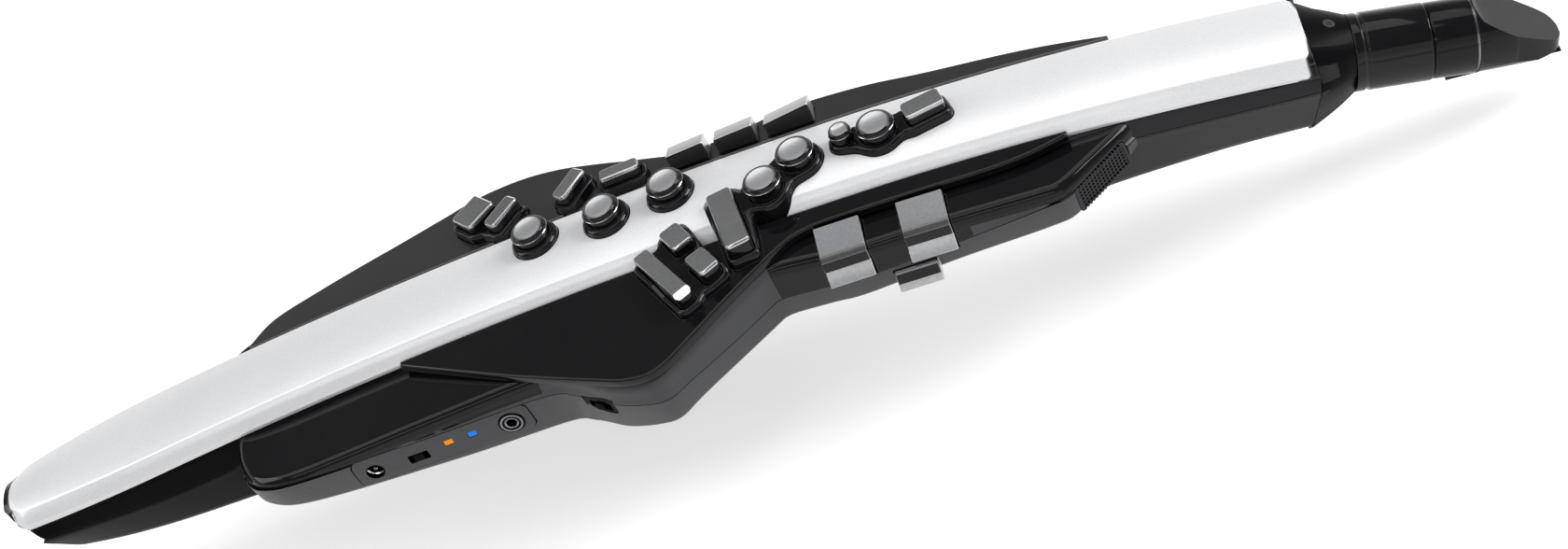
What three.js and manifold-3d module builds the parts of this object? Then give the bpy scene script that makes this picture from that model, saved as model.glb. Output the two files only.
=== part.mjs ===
// Wind controller with saxophone-style keys, held upright or hung from a neck strap.
// Millimetres. X runs from the bell end to the mouthpiece tip, Y from the ports to the palm keys,
// and Z from the back to the key face. Heights are measured from the crown of the key face.
import * as THREE from 'three';
import Module from 'manifold-3d';
import { mergeVertices } from 'three/addons/utils/BufferGeometryUtils.js';

const wasm = await Module();
wasm.setup();

// Clearances
const gap = 0.3;
const overrun = 6;
const farReach = 120;
const weld = 0.0005;

// Materials
const finishes = {
  silver: { color: 0xdfe1e3, roughness: 0.35, metalness: 0.55 },
  gloss: { color: 0x1a1b1e, roughness: 0.15, metalness: 0 },
  matt: { color: 0x2b2c2f, roughness: 0.6, metalness: 0 },
  keyCap: { color: 0x9a9da1, roughness: 0.3, metalness: 0.9 },
  chrome: { color: 0xc9ccd0, roughness: 0.12, metalness: 1 },
  rubber: { color: 0x121212, roughness: 0.9, metalness: 0 },
  board: { color: 0x1d5a3a, roughness: 0.5, metalness: 0.1 },
  cell: { color: 0xb8bcc2, roughness: 0.35, metalness: 0.8 },
  glass: { color: 0x0b0d10, roughness: 0.05, metalness: 0 },
  amber: { color: 0xf0a020, roughness: 0.3, metalness: 0 },
  blue: { color: 0x3a78e0, roughness: 0.3, metalness: 0 },
  resin: { color: 0x101113, roughness: 0.12, metalness: 0 },
};

// Arch of the key face along the body
const arch = { apexX: 262, bellRadius: 1760, neckRadius: 1560, bendX: 340, bendRadius: 2500 };

// Body shell
const body = { neckX: 492, depth: 52, wall: 2.2, deckDrop: 8.3, deckEdge: 0.8, deckSlopeShare: 0.061 };
const core = { half: 20.4, bellNarrowing: 5.4, bellTaperX: 70, flare: 2.6, shoulder: 3, backShare: 0.45 };
const coreBack = { tuckIn: 3, tuckUp: 5, rollIn: 7, rollUp: 1.2 };

// Heights of the back and of the case seam, as shares of the neck position and of the body depth
const backLineShares = [[-0.02, 0.86], [0.03, 0.905], [0.08, 0.95], [0.15, 0.975], [0.25, 0.985], [0.5, 1],
  [0.82, 0.96], [0.92, 1], [1, 1.09], [1.05, 1.13]];
const seamLineShares = [[-0.02, 0.59], [0.04, 0.565], [0.185, 0.49], [0.215, 0.36], [0.3, 0.34], [0.42, 0.34],
  [0.52, 0.38], [0.6, 0.43], [0.74, 0.42], [0.82, 0.4], [0.87, 0.46], [1, 0.64], [1.05, 0.68]];
const wallFootShares = [[0.18, 0.54], [0.3, 0.62], [0.43, 0.675], [0.54, 0.62], [0.62, 0.64], [0.73, 0.61],
  [0.83, 0.615], [0.88, 0.57]];

function lineThrough(shares, length, height) {
  const knots = shares.map(([x, z]) => new THREE.Vector2(x * length, -z * height));
  return (x) => {
    let i = 0;
    while (i < knots.length - 2 && x > knots[i + 1].x) i += 1;
    const a = knots[Math.max(i - 1, 0)];
    const b = knots[i];
    const c = knots[i + 1];
    const d = knots[Math.min(i + 2, knots.length - 1)];
    const run = c.x - b.x;
    const t = THREE.MathUtils.clamp((x - b.x) / run, 0, 1);
    const slopeB = (c.y - a.y) / (c.x - a.x) * run;
    const slopeC = (d.y - b.y) / (d.x - b.x) * run;
    const t2 = t * t;
    const t3 = t2 * t;
    return (2 * t3 - 3 * t2 + 1) * b.y + (t3 - 2 * t2 + t) * slopeB + (3 * t2 - 2 * t3) * c.y + (t3 - t2) * slopeC;
  };
}

const backZ = lineThrough(backLineShares, body.neckX, body.depth);
const seamZ = lineThrough(seamLineShares, body.neckX, body.depth);
const wallFootZ = lineThrough(wallFootShares, body.neckX, body.depth);

function frontZ(x) {
  const reach = x - arch.apexX;
  const bend = Math.max(x - arch.bendX, 0);
  const radius = reach < 0 ? arch.bellRadius : arch.neckRadius;
  return -reach * reach / (2 * radius) - bend * bend / (2 * arch.bendRadius);
}

function frontTilt(x) {
  const reach = x - arch.apexX;
  const bend = Math.max(x - arch.bendX, 0);
  const radius = reach < 0 ? arch.bellRadius : arch.neckRadius;
  return Math.atan(reach / radius + bend / arch.bendRadius);
}

function deckZ(x, y) {
  return frontZ(x) - body.deckDrop - body.deckSlopeShare * Math.max(Math.abs(y) - core.half, 0);
}

function coreHalf(x) {
  const share = Math.max(1 - x / core.bellTaperX, 0);
  return core.half - core.bellNarrowing * share * share;
}

// Solids from closed meshes
function solidOf(geometry) {
  const bare = geometry.index ? geometry.toNonIndexed() : geometry.clone();
  for (const name of Object.keys(bare.attributes)) {
    if (name !== 'position') bare.deleteAttribute(name);
  }
  const merged = mergeVertices(bare, weld);
  const corners = [];
  for (let i = 0; i < merged.index.count; i += 3) {
    const [a, b, c] = [0, 1, 2].map((k) => merged.index.getX(i + k));
    if (a !== b && b !== c && c !== a) corners.push(a, b, c);
  }
  return new wasm.Manifold(new wasm.Mesh({
    numProp: 3,
    vertProperties: new Float32Array(merged.attributes.position.array),
    triVerts: new Uint32Array(corners),
  }));
}

function geometryOf(solid) {
  const mesh = solid.getMesh();
  const geometry = new THREE.BufferGeometry();
  geometry.setAttribute('position', new THREE.BufferAttribute(new Float32Array(mesh.vertProperties), 3));
  geometry.setIndex(Array.from(mesh.triVerts));
  const flat = geometry.toNonIndexed();
  flat.computeVertexNormals();
  return flat;
}

function join(...solids) {
  return solids.reduce((whole, solid) => whole.add(solid));
}

function cut(solid, ...tools) {
  return tools.reduce((rest, tool) => rest.subtract(tool), solid);
}

function mainBody(solid) {
  return solid.decompose().reduce((most, body) => (body.volume() > most.volume() ? body : most));
}

function placed(geometry, matrix) {
  return solidOf(geometry.clone().applyMatrix4(matrix));
}

// Closed mesh over a stack of rings with as many points each; the cap corners run like the ring
function skinned(rings, capCorners) {
  const count = rings[0].length;
  const positions = [];
  const push = (...points) => points.forEach((p) => positions.push(p.x, p.y, p.z));
  for (let i = 0; i < rings.length - 1; i += 1) {
    for (let j = 0; j < count; j += 1) {
      const k = (j + 1) % count;
      push(rings[i][j], rings[i][k], rings[i + 1][k]);
      push(rings[i][j], rings[i + 1][k], rings[i + 1][j]);
    }
  }
  for (const [a, b, c] of capCorners) {
    push(rings[0][c], rings[0][b], rings[0][a]);
    push(rings.at(-1)[a], rings.at(-1)[b], rings.at(-1)[c]);
  }
  const geometry = new THREE.BufferGeometry();
  geometry.setAttribute('position', new THREE.Float32BufferAttribute(positions, 3));
  return outward(geometry);
}

function outward(geometry) {
  const p = geometry.attributes.position;
  const [a, b, c] = [new THREE.Vector3(), new THREE.Vector3(), new THREE.Vector3()];
  let volume = 0;
  for (let i = 0; i < p.count; i += 3) {
    a.fromBufferAttribute(p, i);
    b.fromBufferAttribute(p, i + 1);
    c.fromBufferAttribute(p, i + 2);
    volume += a.dot(b.clone().cross(c));
  }
  if (volume > 0) return geometry;
  for (let i = 0; i < p.count; i += 3) {
    b.fromBufferAttribute(p, i + 1);
    c.fromBufferAttribute(p, i + 2);
    p.setXYZ(i + 1, c.x, c.y, c.z);
    p.setXYZ(i + 2, b.x, b.y, b.z);
  }
  return geometry;
}

function flatCap(points) {
  const ringSign = Math.sign(THREE.ShapeUtils.area(points));
  return THREE.ShapeUtils.triangulateShape(points, []).map(([a, b, c]) => {
    const sign = Math.sign(THREE.ShapeUtils.area([points[a], points[b], points[c]]));
    return sign === ringSign ? [a, b, c] : [c, b, a];
  });
}

function ladderCap(steps) {
  const corners = [];
  const last = 2 * steps - 1;
  for (let i = 0; i < steps - 1; i += 1) {
    corners.push([i, i + 1, last - i - 1], [i, last - i - 1, last - i]);
  }
  return corners;
}

// Sections across the body: a half profile of y and z from the top centre to the bottom centre
function mirrored(half) {
  return [...half, ...half.slice(1, -1).reverse().map(([y, z]) => [-y, z])];
}

function mirrorCap(halfCount) {
  const corners = [];
  const count = 2 * halfCount - 2;
  for (let i = 0; i < halfCount - 1; i += 1) {
    const left = (count - i) % count;
    const nextLeft = count - i - 1;
    if (nextLeft !== i + 1) corners.push([i, i + 1, nextLeft]);
    if (left !== i) corners.push([i, nextLeft, left]);
  }
  return corners;
}

function ringAt(x, section) {
  return section.map(([y, z]) => new THREE.Vector3(x, y, z));
}

function loftAlongX(stations, halfProfile) {
  const rings = stations.map((x) => ringAt(x, mirrored(halfProfile(x))));
  return skinned(rings, mirrorCap(halfProfile(stations[0]).length));
}

function stationsOf(start, end, count) {
  return Array.from({ length: count }, (_, i) => start + (end - start) * i / (count - 1));
}

function insetRing(ring, inset) {
  const turn = Math.sign(THREE.ShapeUtils.area(ring));
  return ring.map((point, i) => {
    const before = ring[(i + ring.length - 1) % ring.length];
    const after = ring[(i + 1) % ring.length];
    const inA = new THREE.Vector2(-(point.y - before.y), point.x - before.x).normalize();
    const inB = new THREE.Vector2(-(after.y - point.y), after.x - point.x).normalize();
    const inward = inA.add(inB).normalize().multiplyScalar(turn);
    return point.clone().addScaledVector(inward, inset);
  });
}

// A block between two plan edges: levels give an inset and a height for each point of the ring
function pillow(outer, inner, levels) {
  const ring = [...outer, ...inner.slice().reverse()];
  const rings = levels.map(({ inset, height }) => insetRing(ring, inset).map((p, i) => {
    const isOuter = i < outer.length;
    return new THREE.Vector3(p.x, p.y, height(p.x, p.y, isOuter));
  }));
  return skinned(rings, ladderCap(outer.length));
}

function planEdge(shares, startX, endX, reach, count) {
  const points = shares.map(([x, y]) => new THREE.Vector2(startX + x * (endX - startX), y * reach));
  return new THREE.SplineCurve(points).getSpacedPoints(count - 1);
}

function straightEdge(edge, y) {
  const first = edge[0].x;
  const last = edge.at(-1).x;
  return edge.map((_, i) => new THREE.Vector2(first + (last - first) * i / (edge.length - 1), y));
}

// Extrusions of a profile seen from the side, from above or along the body
const sideOn = new THREE.Matrix4().makeBasis(
  new THREE.Vector3(1, 0, 0), new THREE.Vector3(0, 0, 1), new THREE.Vector3(0, -1, 0));
const endOn = new THREE.Matrix4().makeBasis(
  new THREE.Vector3(0, 1, 0), new THREE.Vector3(0, 0, 1), new THREE.Vector3(1, 0, 0));

function prism(points, depth) {
  return new THREE.ExtrudeGeometry(new THREE.Shape(points), { depth, bevelEnabled: false });
}

function sidePrism(points, width, midY) {
  return prism(points, width).applyMatrix4(sideOn).translate(0, midY + width / 2, 0);
}

function endPrism(points, length, startX) {
  return prism(points, length).applyMatrix4(endOn).translate(startX, 0, 0);
}

function beyondLine(line, shift, sign) {
  const xs = stationsOf(-overrun, body.neckX + overrun, 23);
  const points = xs.map((x) => new THREE.Vector2(x, line(x) + shift));
  points.push(new THREE.Vector2(xs.at(-1), sign * farReach), new THREE.Vector2(xs[0], sign * farReach));
  return solidOf(sidePrism(points, 2 * farReach, 0));
}

function roundedQuad(corners, radius, steps) {
  const points = [];
  corners.forEach((corner, i) => {
    const before = corners[(i + corners.length - 1) % corners.length];
    const after = corners[(i + 1) % corners.length];
    const start = corner.clone().addScaledVector(before.clone().sub(corner).normalize(), radius);
    const end = corner.clone().addScaledVector(after.clone().sub(corner).normalize(), radius);
    const bend = new THREE.QuadraticBezierCurve(start, corner, end);
    points.push(...bend.getPoints(steps));
  });
  return points;
}

function rectangle(length, width) {
  return [[-1, -1], [1, -1], [1, 1], [-1, 1]].map(([x, y]) => new THREE.Vector2(x * length / 2, y * width / 2));
}

// Levels of a small moulded block in its own frame
function block(ring, levels) {
  const rings = levels.map(({ inset, z }) => insetRing(ring, inset).map((p) => new THREE.Vector3(p.x, p.y, z)));
  return skinned(rings, flatCap(ring));
}

// A place on the key face: tilted with the arch, then turned about its own upright
function onFace(x, y, turn = 0) {
  const matrix = new THREE.Matrix4().makeTranslation(x, y, frontZ(x));
  matrix.multiply(new THREE.Matrix4().makeRotationY(frontTilt(x)));
  return matrix.multiply(new THREE.Matrix4().makeRotationZ(turn));
}

const object = new THREE.Group();

function addMesh(name, finish, geometry, matrix, parent = object) {
  const mesh = new THREE.Mesh(geometry, new THREE.MeshStandardMaterial(finishes[finish]));
  mesh.name = name;
  if (matrix) matrix.decompose(mesh.position, mesh.quaternion, mesh.scale);
  parent.add(mesh);
  return mesh;
}

// Silver front panel: a crowned cover with a soft crease along each flank
const panel = { half: 19.6, startX: 2, endX: 492, bellNarrowing: 5.4, thickness: 2, creaseIn: 4.2, creaseDrop: 1.7,
  crownDrop: 0.9, crownIn: 8, edgeDrop: 6.8, foot: 8, cornerIn: 2.6, cornerLength: 5, stations: 13 };

function panelHalf(x) {
  const share = Math.max(1 - x / core.bellTaperX, 0);
  const corner = Math.max(1 - Math.max(x - panel.startX, 0) / panel.cornerLength, 0);
  return panel.half - panel.bellNarrowing * share * share - panel.cornerIn * corner * corner;
}

function panelSection(x) {
  const half = panelHalf(x);
  const z = frontZ(x);
  const inner = panel.thickness;
  const outside = [[0, z], [half - panel.crownIn, z - panel.crownDrop], [half - panel.creaseIn, z - panel.creaseDrop],
    [half, z - panel.edgeDrop], [half, z - panel.foot]];
  const inside = [[half - inner, z - panel.foot], [half - inner, z - panel.edgeDrop],
    [half - panel.creaseIn - inner / 2, z - panel.creaseDrop - inner],
    [half - panel.crownIn, z - panel.crownDrop - inner], [0, z - inner]];
  return mirrored([...outside, ...inside]);
}

function panelStock() {
  const round = [panel.startX, panel.startX + panel.cornerLength / 2];
  const stations = [...round, ...stationsOf(panel.startX + 2 * panel.cornerLength, panel.endX, panel.stations)];
  const rings = stations.map((x) => ringAt(x, panelSection(x)));
  return solidOf(skinned(rings, flatCap(rings[0].map((p) => new THREE.Vector2(p.y, p.z)))));
}

// Outer case as one solid, before it is split along its seam
const nearEdge = { startX: 96, endX: 431, reach: 50 };
const nearEdgeShares = [[0, -0.3], [0.006, -0.6], [0.021, -0.82], [0.04, -0.93], [0.07, -0.99], [0.13, -1.01],
  [0.25, -1.01], [0.361, -1.01], [0.394, -1.1], [0.43, -1.28], [0.466, -1.38], [0.49, -1.39], [0.515, -1.32],
  [0.565, -1.06], [0.609, -0.83], [0.634, -0.79], [0.66, -0.83], [0.7, -0.87], [0.8, -0.87], [0.893, -0.87],
  [0.92, -0.84], [0.955, -0.67], [0.988, -0.5], [1, -0.42]];
const farEdge = { startX: 90, endX: 442, reach: 54 };
const farEdgeShares = [[0, 0.3], [0.02, 0.53], [0.12, 0.72], [0.22, 0.86], [0.3, 0.98], [0.355, 1], [0.4, 0.95],
  [0.47, 0.76], [0.54, 0.63], [0.6, 0.66], [0.66, 0.71], [0.72, 0.68], [0.8, 0.61], [0.9, 0.53], [1, 0.38]];
const edgeRoll = { topIn: 3.6, topMidIn: 1.9, topMidDrop: 1, topSideIn: 1.1, topSideDrop: 3.4, footIn: 0.6,
  footUp: 3, footRollIn: 2.4, footRollUp: 0.7, baseIn: 7 };
const wingRoot = { y: 2, up: 3, drop: 1.2 };

function wingSolid(edge, shares, side, count, shrink) {
  const outer = planEdge(shares, edge.startX, edge.endX, edge.reach, count);
  const inner = straightEdge(outer, side * wingRoot.y);
  const foot = (up) => (x, y, isOuter) => (isOuter ? wallFootZ(x) : backZ(x) + wingRoot.up) + up;
  const top = (drop) => (x, y, isOuter) => deckZ(x, y) - drop - (isOuter ? 0 : wingRoot.drop);
  const levels = [
    { inset: edgeRoll.baseIn, height: foot(shrink) },
    { inset: shrink + edgeRoll.footRollIn, height: foot(shrink + edgeRoll.footRollUp) },
    { inset: shrink + edgeRoll.footIn, height: foot(shrink + edgeRoll.footUp) },
    { inset: shrink, height: (x) => seamZ(x) },
    { inset: shrink + edgeRoll.topSideIn, height: top(shrink + edgeRoll.topSideDrop) },
    { inset: shrink + edgeRoll.topMidIn, height: top(shrink + edgeRoll.topMidDrop) },
    { inset: shrink + edgeRoll.topIn, height: top(shrink) },
  ];
  const kept = shrink ? levels.filter((_, i) => i % 2 === 0) : levels;
  return solidOf(pillow(outer, inner, kept));
}

function coreSection(shrink) {
  return (x) => {
    const half = coreHalf(x) - shrink;
    const deck = frontZ(x) - body.deckDrop - shrink;
    const back = backZ(x) + shrink;
    const seam = seamZ(x);
    return [[0, deck], [half - body.deckEdge, deck], [half, deck - body.deckEdge],
      [half + core.flare, seam], [half + core.flare - core.shoulder / 3, seam - core.shoulder],
      [half - coreBack.tuckIn, back + coreBack.tuckUp], [half - coreBack.rollIn, back + coreBack.rollUp],
      [half * core.backShare, back], [0, back]];
  };
}

// The bell end face leans inward from its rim, and the lower case steps out below the seam
const bellEnd = { rimDrop: 1.6, rimOut: 1, seamX: 13, footX: 25, step: 2, fillX: 15 };

function bellEndCut() {
  const rimZ = frontZ(0) - bellEnd.rimDrop;
  const seam = seamZ(bellEnd.seamX);
  return solidOf(sidePrism([
    new THREE.Vector2(-overrun, rimZ),
    new THREE.Vector2(0, rimZ),
    new THREE.Vector2(bellEnd.seamX, seam),
    new THREE.Vector2(bellEnd.seamX - bellEnd.step, seam - bellEnd.step),
    new THREE.Vector2(bellEnd.footX, backZ(bellEnd.footX)),
    new THREE.Vector2(bellEnd.footX, -farReach),
    new THREE.Vector2(-overrun, -farReach),
  ], 2 * farReach, 0));
}

// A rim that stands around the end of the panel, and a filling that carries it down to the deck
function bellRim() {
  const foot = panel.foot + overrun;
  const rim = (x) => {
    const half = panelHalf(x) + bellEnd.rimOut;
    const z = frontZ(x) + gap;
    return [[0, z], [half - panel.crownIn, z - panel.crownDrop], [half - panel.creaseIn, z - panel.creaseDrop],
      [half, z - panel.edgeDrop], [half, z - foot], [0, z - foot]];
  };
  const filling = (x) => {
    const half = panelHalf(x) - panel.thickness - gap;
    const z = frontZ(x) - panel.thickness - gap;
    return [[0, z], [half - panel.crownIn, z - panel.crownDrop],
      [half + panel.thickness / 2 - panel.creaseIn, z - panel.creaseDrop], [half, z - panel.edgeDrop],
      [half, z - foot], [0, z - foot]];
  };
  return solidOf(loftAlongX([0, panel.startX - gap], rim))
    .add(solidOf(loftAlongX([panel.startX / 2, bellEnd.fillX], filling)));
}

function caseStock() {
  const outer = join(
    solidOf(loftAlongX(stationsOf(0, body.neckX, 17), coreSection(0))),
    wingSolid(nearEdge, nearEdgeShares, -1, 31, 0),
    wingSolid(farEdge, farEdgeShares, 1, 18, 0),
    bellRim(),
  );
  return cut(outer, bellEndCut());
}

function caseRoom() {
  return join(
    solidOf(loftAlongX(stationsOf(bellEnd.footX, body.neckX - body.wall, 9), coreSection(body.wall))),
    wingSolid(nearEdge, nearEdgeShares, -1, 18, body.wall),
    wingSolid(farEdge, farEdgeShares, 1, 12, body.wall),
  );
}

// Gloss key plates that lie on the case beside the panel, with outer edges as shares of the room beyond it
const plate = { thickness: 3.1, edge: 0.7 };
const nearPlate = { startX: 167, endX: 409, reach: 68 };
const nearPlateShares = [[0, 0.045], [0.06, 0.227], [0.165, 0.536], [0.244, 0.747], [0.3, 0.888], [0.335, 0.969],
  [0.37, 1], [0.4, 0.951], [0.44, 0.803], [0.51, 0.529], [0.575, 0.298], [0.62, 0.192], [0.7, 0.174],
  [0.86, 0.171], [0.93, 0.143], [0.98, 0.08], [1, 0.045]];
const farPlate = { startX: 104, endX: 430, reach: 51 };
const farPlateShares = [[0, 0.074], [0.03, 0.35], [0.09, 0.513], [0.15, 0.643], [0.19, 0.724], [0.245, 0.854],
  [0.29, 0.968], [0.34, 0.984], [0.385, 0.903], [0.43, 0.74], [0.485, 0.513], [0.54, 0.334],
  [0.6, 0.383], [0.66, 0.48], [0.74, 0.432], [0.81, 0.318], [0.92, 0.204], [1, 0.074]];

// Round keys: a dished cap in a bright ring on a dark plunger, guided by a raised collar
const roundKey = { capRadius: 5.6, ringRadius: 6.85, plungerRadius: 6.2, ringFoot: 5.3, ringTop: 7, lip: 0.6,
  dish: 0.5, foot: -12, sides: 14 };
const keyCollar = { foot: -10, top: 3, chamfer: 1, rim: 1.75, clearance: 0.4 };
const roundKeyShares = [
  { name: 'right_index_key', xShare: 0.4533, yShare: 0.357, fullShare: 1 },
  { name: 'right_middle_key', xShare: 0.5081, yShare: 0.204, fullShare: 1 },
  { name: 'right_ring_key', xShare: 0.5569, yShare: 0.255, fullShare: 1 },
  { name: 'left_ring_key', xShare: 0.626, yShare: -0.561, fullShare: 1 },
  { name: 'left_middle_key', xShare: 0.6514, yShare: -0.102, fullShare: 1 },
  { name: 'left_bis_key', xShare: 0.685, yShare: 0, fullShare: 0.6 },
  { name: 'left_index_key', xShare: 0.7093, yShare: -0.102, fullShare: 1 },
];
const roundKeys = roundKeyShares.map(({ name, xShare, yShare, fullShare }) => (
  { name, fullShare, x: xShare * body.neckX, y: yShare * panel.half }));

function lathe(points, sides) {
  return new THREE.LatheGeometry(points.map(([r, z]) => new THREE.Vector2(r, z)), sides).rotateX(Math.PI / 2);
}

function roundKeyGeometry(fullShare) {
  const key = roundKey;
  const plunger = key.plungerRadius * fullShare;
  const ring = key.ringRadius * fullShare;
  const cap = key.capRadius * fullShare;
  return lathe([[0, key.foot], [plunger, key.foot], [plunger, key.ringFoot], [ring, key.ringFoot],
    [ring, key.ringTop], [cap + key.lip / 2, key.ringTop], [cap, key.ringTop - key.lip],
    [cap - key.lip / 2, key.ringTop + key.lip / 2], [0, key.ringTop - key.dish]], key.sides);
}

function roundCollar(fullShare) {
  const radius = (roundKey.ringRadius + keyCollar.rim) * fullShare;
  return lathe([[0, keyCollar.foot], [radius, keyCollar.foot], [radius, keyCollar.top - keyCollar.chamfer],
    [radius - keyCollar.chamfer, keyCollar.top], [0, keyCollar.top]], roundKey.sides);
}

function roundCollarRoom(fullShare) {
  const radius = (roundKey.ringRadius + keyCollar.rim) * fullShare + gap;
  const foot = keyCollar.foot - overrun;
  return lathe([[0, foot], [radius, foot], [radius, roundKey.ringTop], [0, roundKey.ringTop]], roundKey.sides);
}

function roundWell(fullShare) {
  const radius = roundKey.plungerRadius * fullShare + keyCollar.clearance;
  const foot = roundKey.foot - overrun;
  return lathe([[0, foot], [radius, foot], [radius, roundKey.ringTop], [0, roundKey.ringTop]], roundKey.sides);
}

// Bar and pad keys: straight plungers with a chamfered top, each in a raised moulded base
// Across the body, their place and length are shares of the room between the panel and the plate's edge
const barKey = { width: 9, top: 3.2, baseDrop: 1.8, foot: -12, chamfer: 0.8, corner: 1.6, cornerSteps: 1,
  clearance: 0.4, rim: 1.6, baseChamfer: 0.6, baseFoot: -11, facetReach: 2.6, facetDrop: 1.7 };
const nearRoom = nearPlate.reach - panel.half;
const farRoom = farPlate.reach - panel.half;
const barKeyShares = [
  { name: 'low_c_sharp_bar_key', side: -1, xShare: 0.5461, yShare: 0.304, lengthShare: 0.62, widthShare: 0.71,
    turn: -61.3, topShare: 0.69, baseShare: 1 },
  { name: 'low_b_pad_key', side: -1, xShare: 0.5585, yShare: -0.0124, lengthShare: 0.24, widthShare: 0.89,
    turn: -63.4, topShare: 0.75, baseShare: 0.67 },
  { name: 'low_b_flat_pad_key', side: -1, xShare: 0.5752, yShare: 0.314, lengthShare: 0.24, widthShare: 0.89,
    turn: -60.3, topShare: 0.69, baseShare: 1 },
  { name: 'g_sharp_bar_key', side: -1, xShare: 0.5976, yShare: 0.005, lengthShare: 0.6, widthShare: 1,
    turn: -79.8, topShare: 1, baseShare: 0.44 },
  { name: 'low_c_pad_key', side: 1, xShare: 0.4057, yShare: 0.427, lengthShare: 0.414, widthShare: 1.22,
    turn: 41, topShare: 0.625, baseShare: 1 },
  { name: 'e_flat_pad_key', side: 1, xShare: 0.428, yShare: 0.236, lengthShare: 0.446, widthShare: 0.644,
    turn: 46.4, topShare: 0.75, baseShare: 1 },
  { name: 'side_b_flat_key', side: 1, xShare: 0.4821, yShare: 0.245, lengthShare: 0.446, widthShare: 0.667,
    turn: 50.7, topShare: 0.81, baseShare: 1 },
  { name: 'side_c_key', side: 1, xShare: 0.5209, yShare: 0.159, lengthShare: 0.465, widthShare: 0.622,
    turn: 2, topShare: 0.81, baseShare: 1 },
  { name: 'front_f_lever_key', side: 0, xShare: 0.7439, yShare: 0, lengthShare: 0.446, widthShare: 0.933,
    turn: 194, topShare: 2.19, baseShare: -1.67 },
];
const barKeys = barKeyShares.map((key) => {
  const room = key.side < 0 ? nearRoom : farRoom;
  return {
    name: key.name,
    x: key.xShare * body.neckX,
    y: key.side * (panel.half + key.yShare * room),
    length: key.lengthShare * room,
    width: key.widthShare * barKey.width,
    turn: key.turn,
    top: key.topShare * barKey.top,
    base: -key.baseShare * barKey.baseDrop,
  };
});

function barRing(key) {
  return roundedQuad(rectangle(key.length, key.width), barKey.corner, barKey.cornerSteps);
}

// The outer end of a bar key falls away in one bright facet
function barKeySolid(key) {
  const bar = solidOf(block(barRing(key), [{ inset: 0, z: barKey.foot }, { inset: 0, z: key.top - barKey.chamfer },
    { inset: barKey.chamfer, z: key.top }]));
  const end = key.length / 2;
  const wedge = [[end - barKey.facetReach, key.top], [end, key.top - barKey.facetDrop],
    [end, key.top + barKey.chamfer]];
  return cut(bar, solidOf(sidePrism(wedge.map(([x, z]) => new THREE.Vector2(x, z)), 2 * key.width, 0)));
}

function barBase(key) {
  return block(barRing(key), [{ inset: -barKey.rim, z: barKey.baseFoot },
    { inset: -barKey.rim, z: key.base - barKey.baseChamfer },
    { inset: barKey.baseChamfer - barKey.rim, z: key.base }]);
}

function barBaseRoom(key) {
  const out = -barKey.rim - gap;
  return block(barRing(key), [{ inset: out, z: barKey.baseFoot - overrun }, { inset: out, z: key.top + overrun }]);
}

function barWell(key) {
  return block(barRing(key), [{ inset: -barKey.clearance, z: barKey.foot - overrun },
    { inset: -barKey.clearance, z: key.top + overrun }]);
}

function barPlace(key) {
  return onFace(key.x, key.y, THREE.MathUtils.degToRad(key.turn));
}

// Palm keys along the far edge of the panel, with tops that fall away from it
const palmKey = { nearY: 21.4, width: 8.6, length: 17, top: 2.6, fall: 3.4, roll: 1.2, rise: 0.9, foot: -11.6,
  clearance: 0.4 };
const palmKeyShares = [
  { name: 'palm_e_flat_key', xShare: 0.5711, lengthShare: 0.824 },
  { name: 'palm_f_key', xShare: 0.6077, lengthShare: 0.847 },
  { name: 'palm_d_key', xShare: 0.6474, lengthShare: 1 },
];
const palmKeys = palmKeyShares.map(({ name, xShare, lengthShare }) => (
  { name, x: xShare * body.neckX, length: lengthShare * palmKey.length }));

function palmSection(rise) {
  const near = palmKey.nearY;
  const far = near + palmKey.width;
  const top = palmKey.top + rise;
  const low = top - palmKey.fall;
  return [[near, palmKey.foot], [far, palmKey.foot], [far, low - palmKey.roll], [far - palmKey.roll, low],
    [near + palmKey.roll / 2, top], [near, top - palmKey.roll / 2]];
}

function palmGeometry(key) {
  const rings = [ringAt(-key.length / 2, palmSection(-palmKey.rise / 2)),
    ringAt(key.length / 2, palmSection(palmKey.rise / 2))];
  return skinned(rings, flatCap(rings[0].map((p) => new THREE.Vector2(p.y, p.z))));
}

function palmWell(key) {
  const spare = palmKey.clearance;
  const ring = rectangle(key.length + 2 * spare, palmKey.width + 2 * spare);
  const midY = palmKey.nearY + palmKey.width / 2;
  const foot = palmKey.foot - overrun;
  return prism(ring, palmKey.top + overrun - foot).translate(0, midY, foot);
}

// Side keys that wrap the near edge: a sloped top, a plain face and a bright lower lip
const sideKey = { length: 16, backY: -31, topDrop: 4.6, kneeY: -41.4, kneeDrop: 9.2, faceY: -43.4, faceDrop: 11,
  lipTopDrop: 13.6, lipY: -46, lipDrop: 19, footY: -43, footDrop: 20.4, clearance: 0.4, backRoom: 2.2 };
const sideKeyShares = [
  { name: 'left_side_b_flat_key', xShare: 0.6677 },
  { name: 'left_side_c_key', xShare: 0.7264 },
];
const sideKeys = sideKeyShares.map(({ name, xShare }) => ({ name, x: xShare * body.neckX }));
const lowSideKey = { name: 'left_side_e_key', x: 349.6, length: 15, backY: -38, topDrop: 22.4, faceY: -45, edge: 1,
  lipY: -46.8, lipTopDrop: 27, lipDrop: 29.6, footDrop: 30.4, footY: -44, clearance: 0.4, backRoom: 2.2 };

function sideKeyGeometry() {
  const key = sideKey;
  const points = [[key.backY, -key.topDrop], [key.backY, -key.footDrop], [key.footY, -key.footDrop],
    [key.lipY, -key.lipDrop], [key.faceY, -key.lipTopDrop], [key.faceY, -key.faceDrop], [key.kneeY, -key.kneeDrop]];
  return endPrism(points.map(([y, z]) => new THREE.Vector2(y, z)), key.length, -key.length / 2);
}

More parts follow.
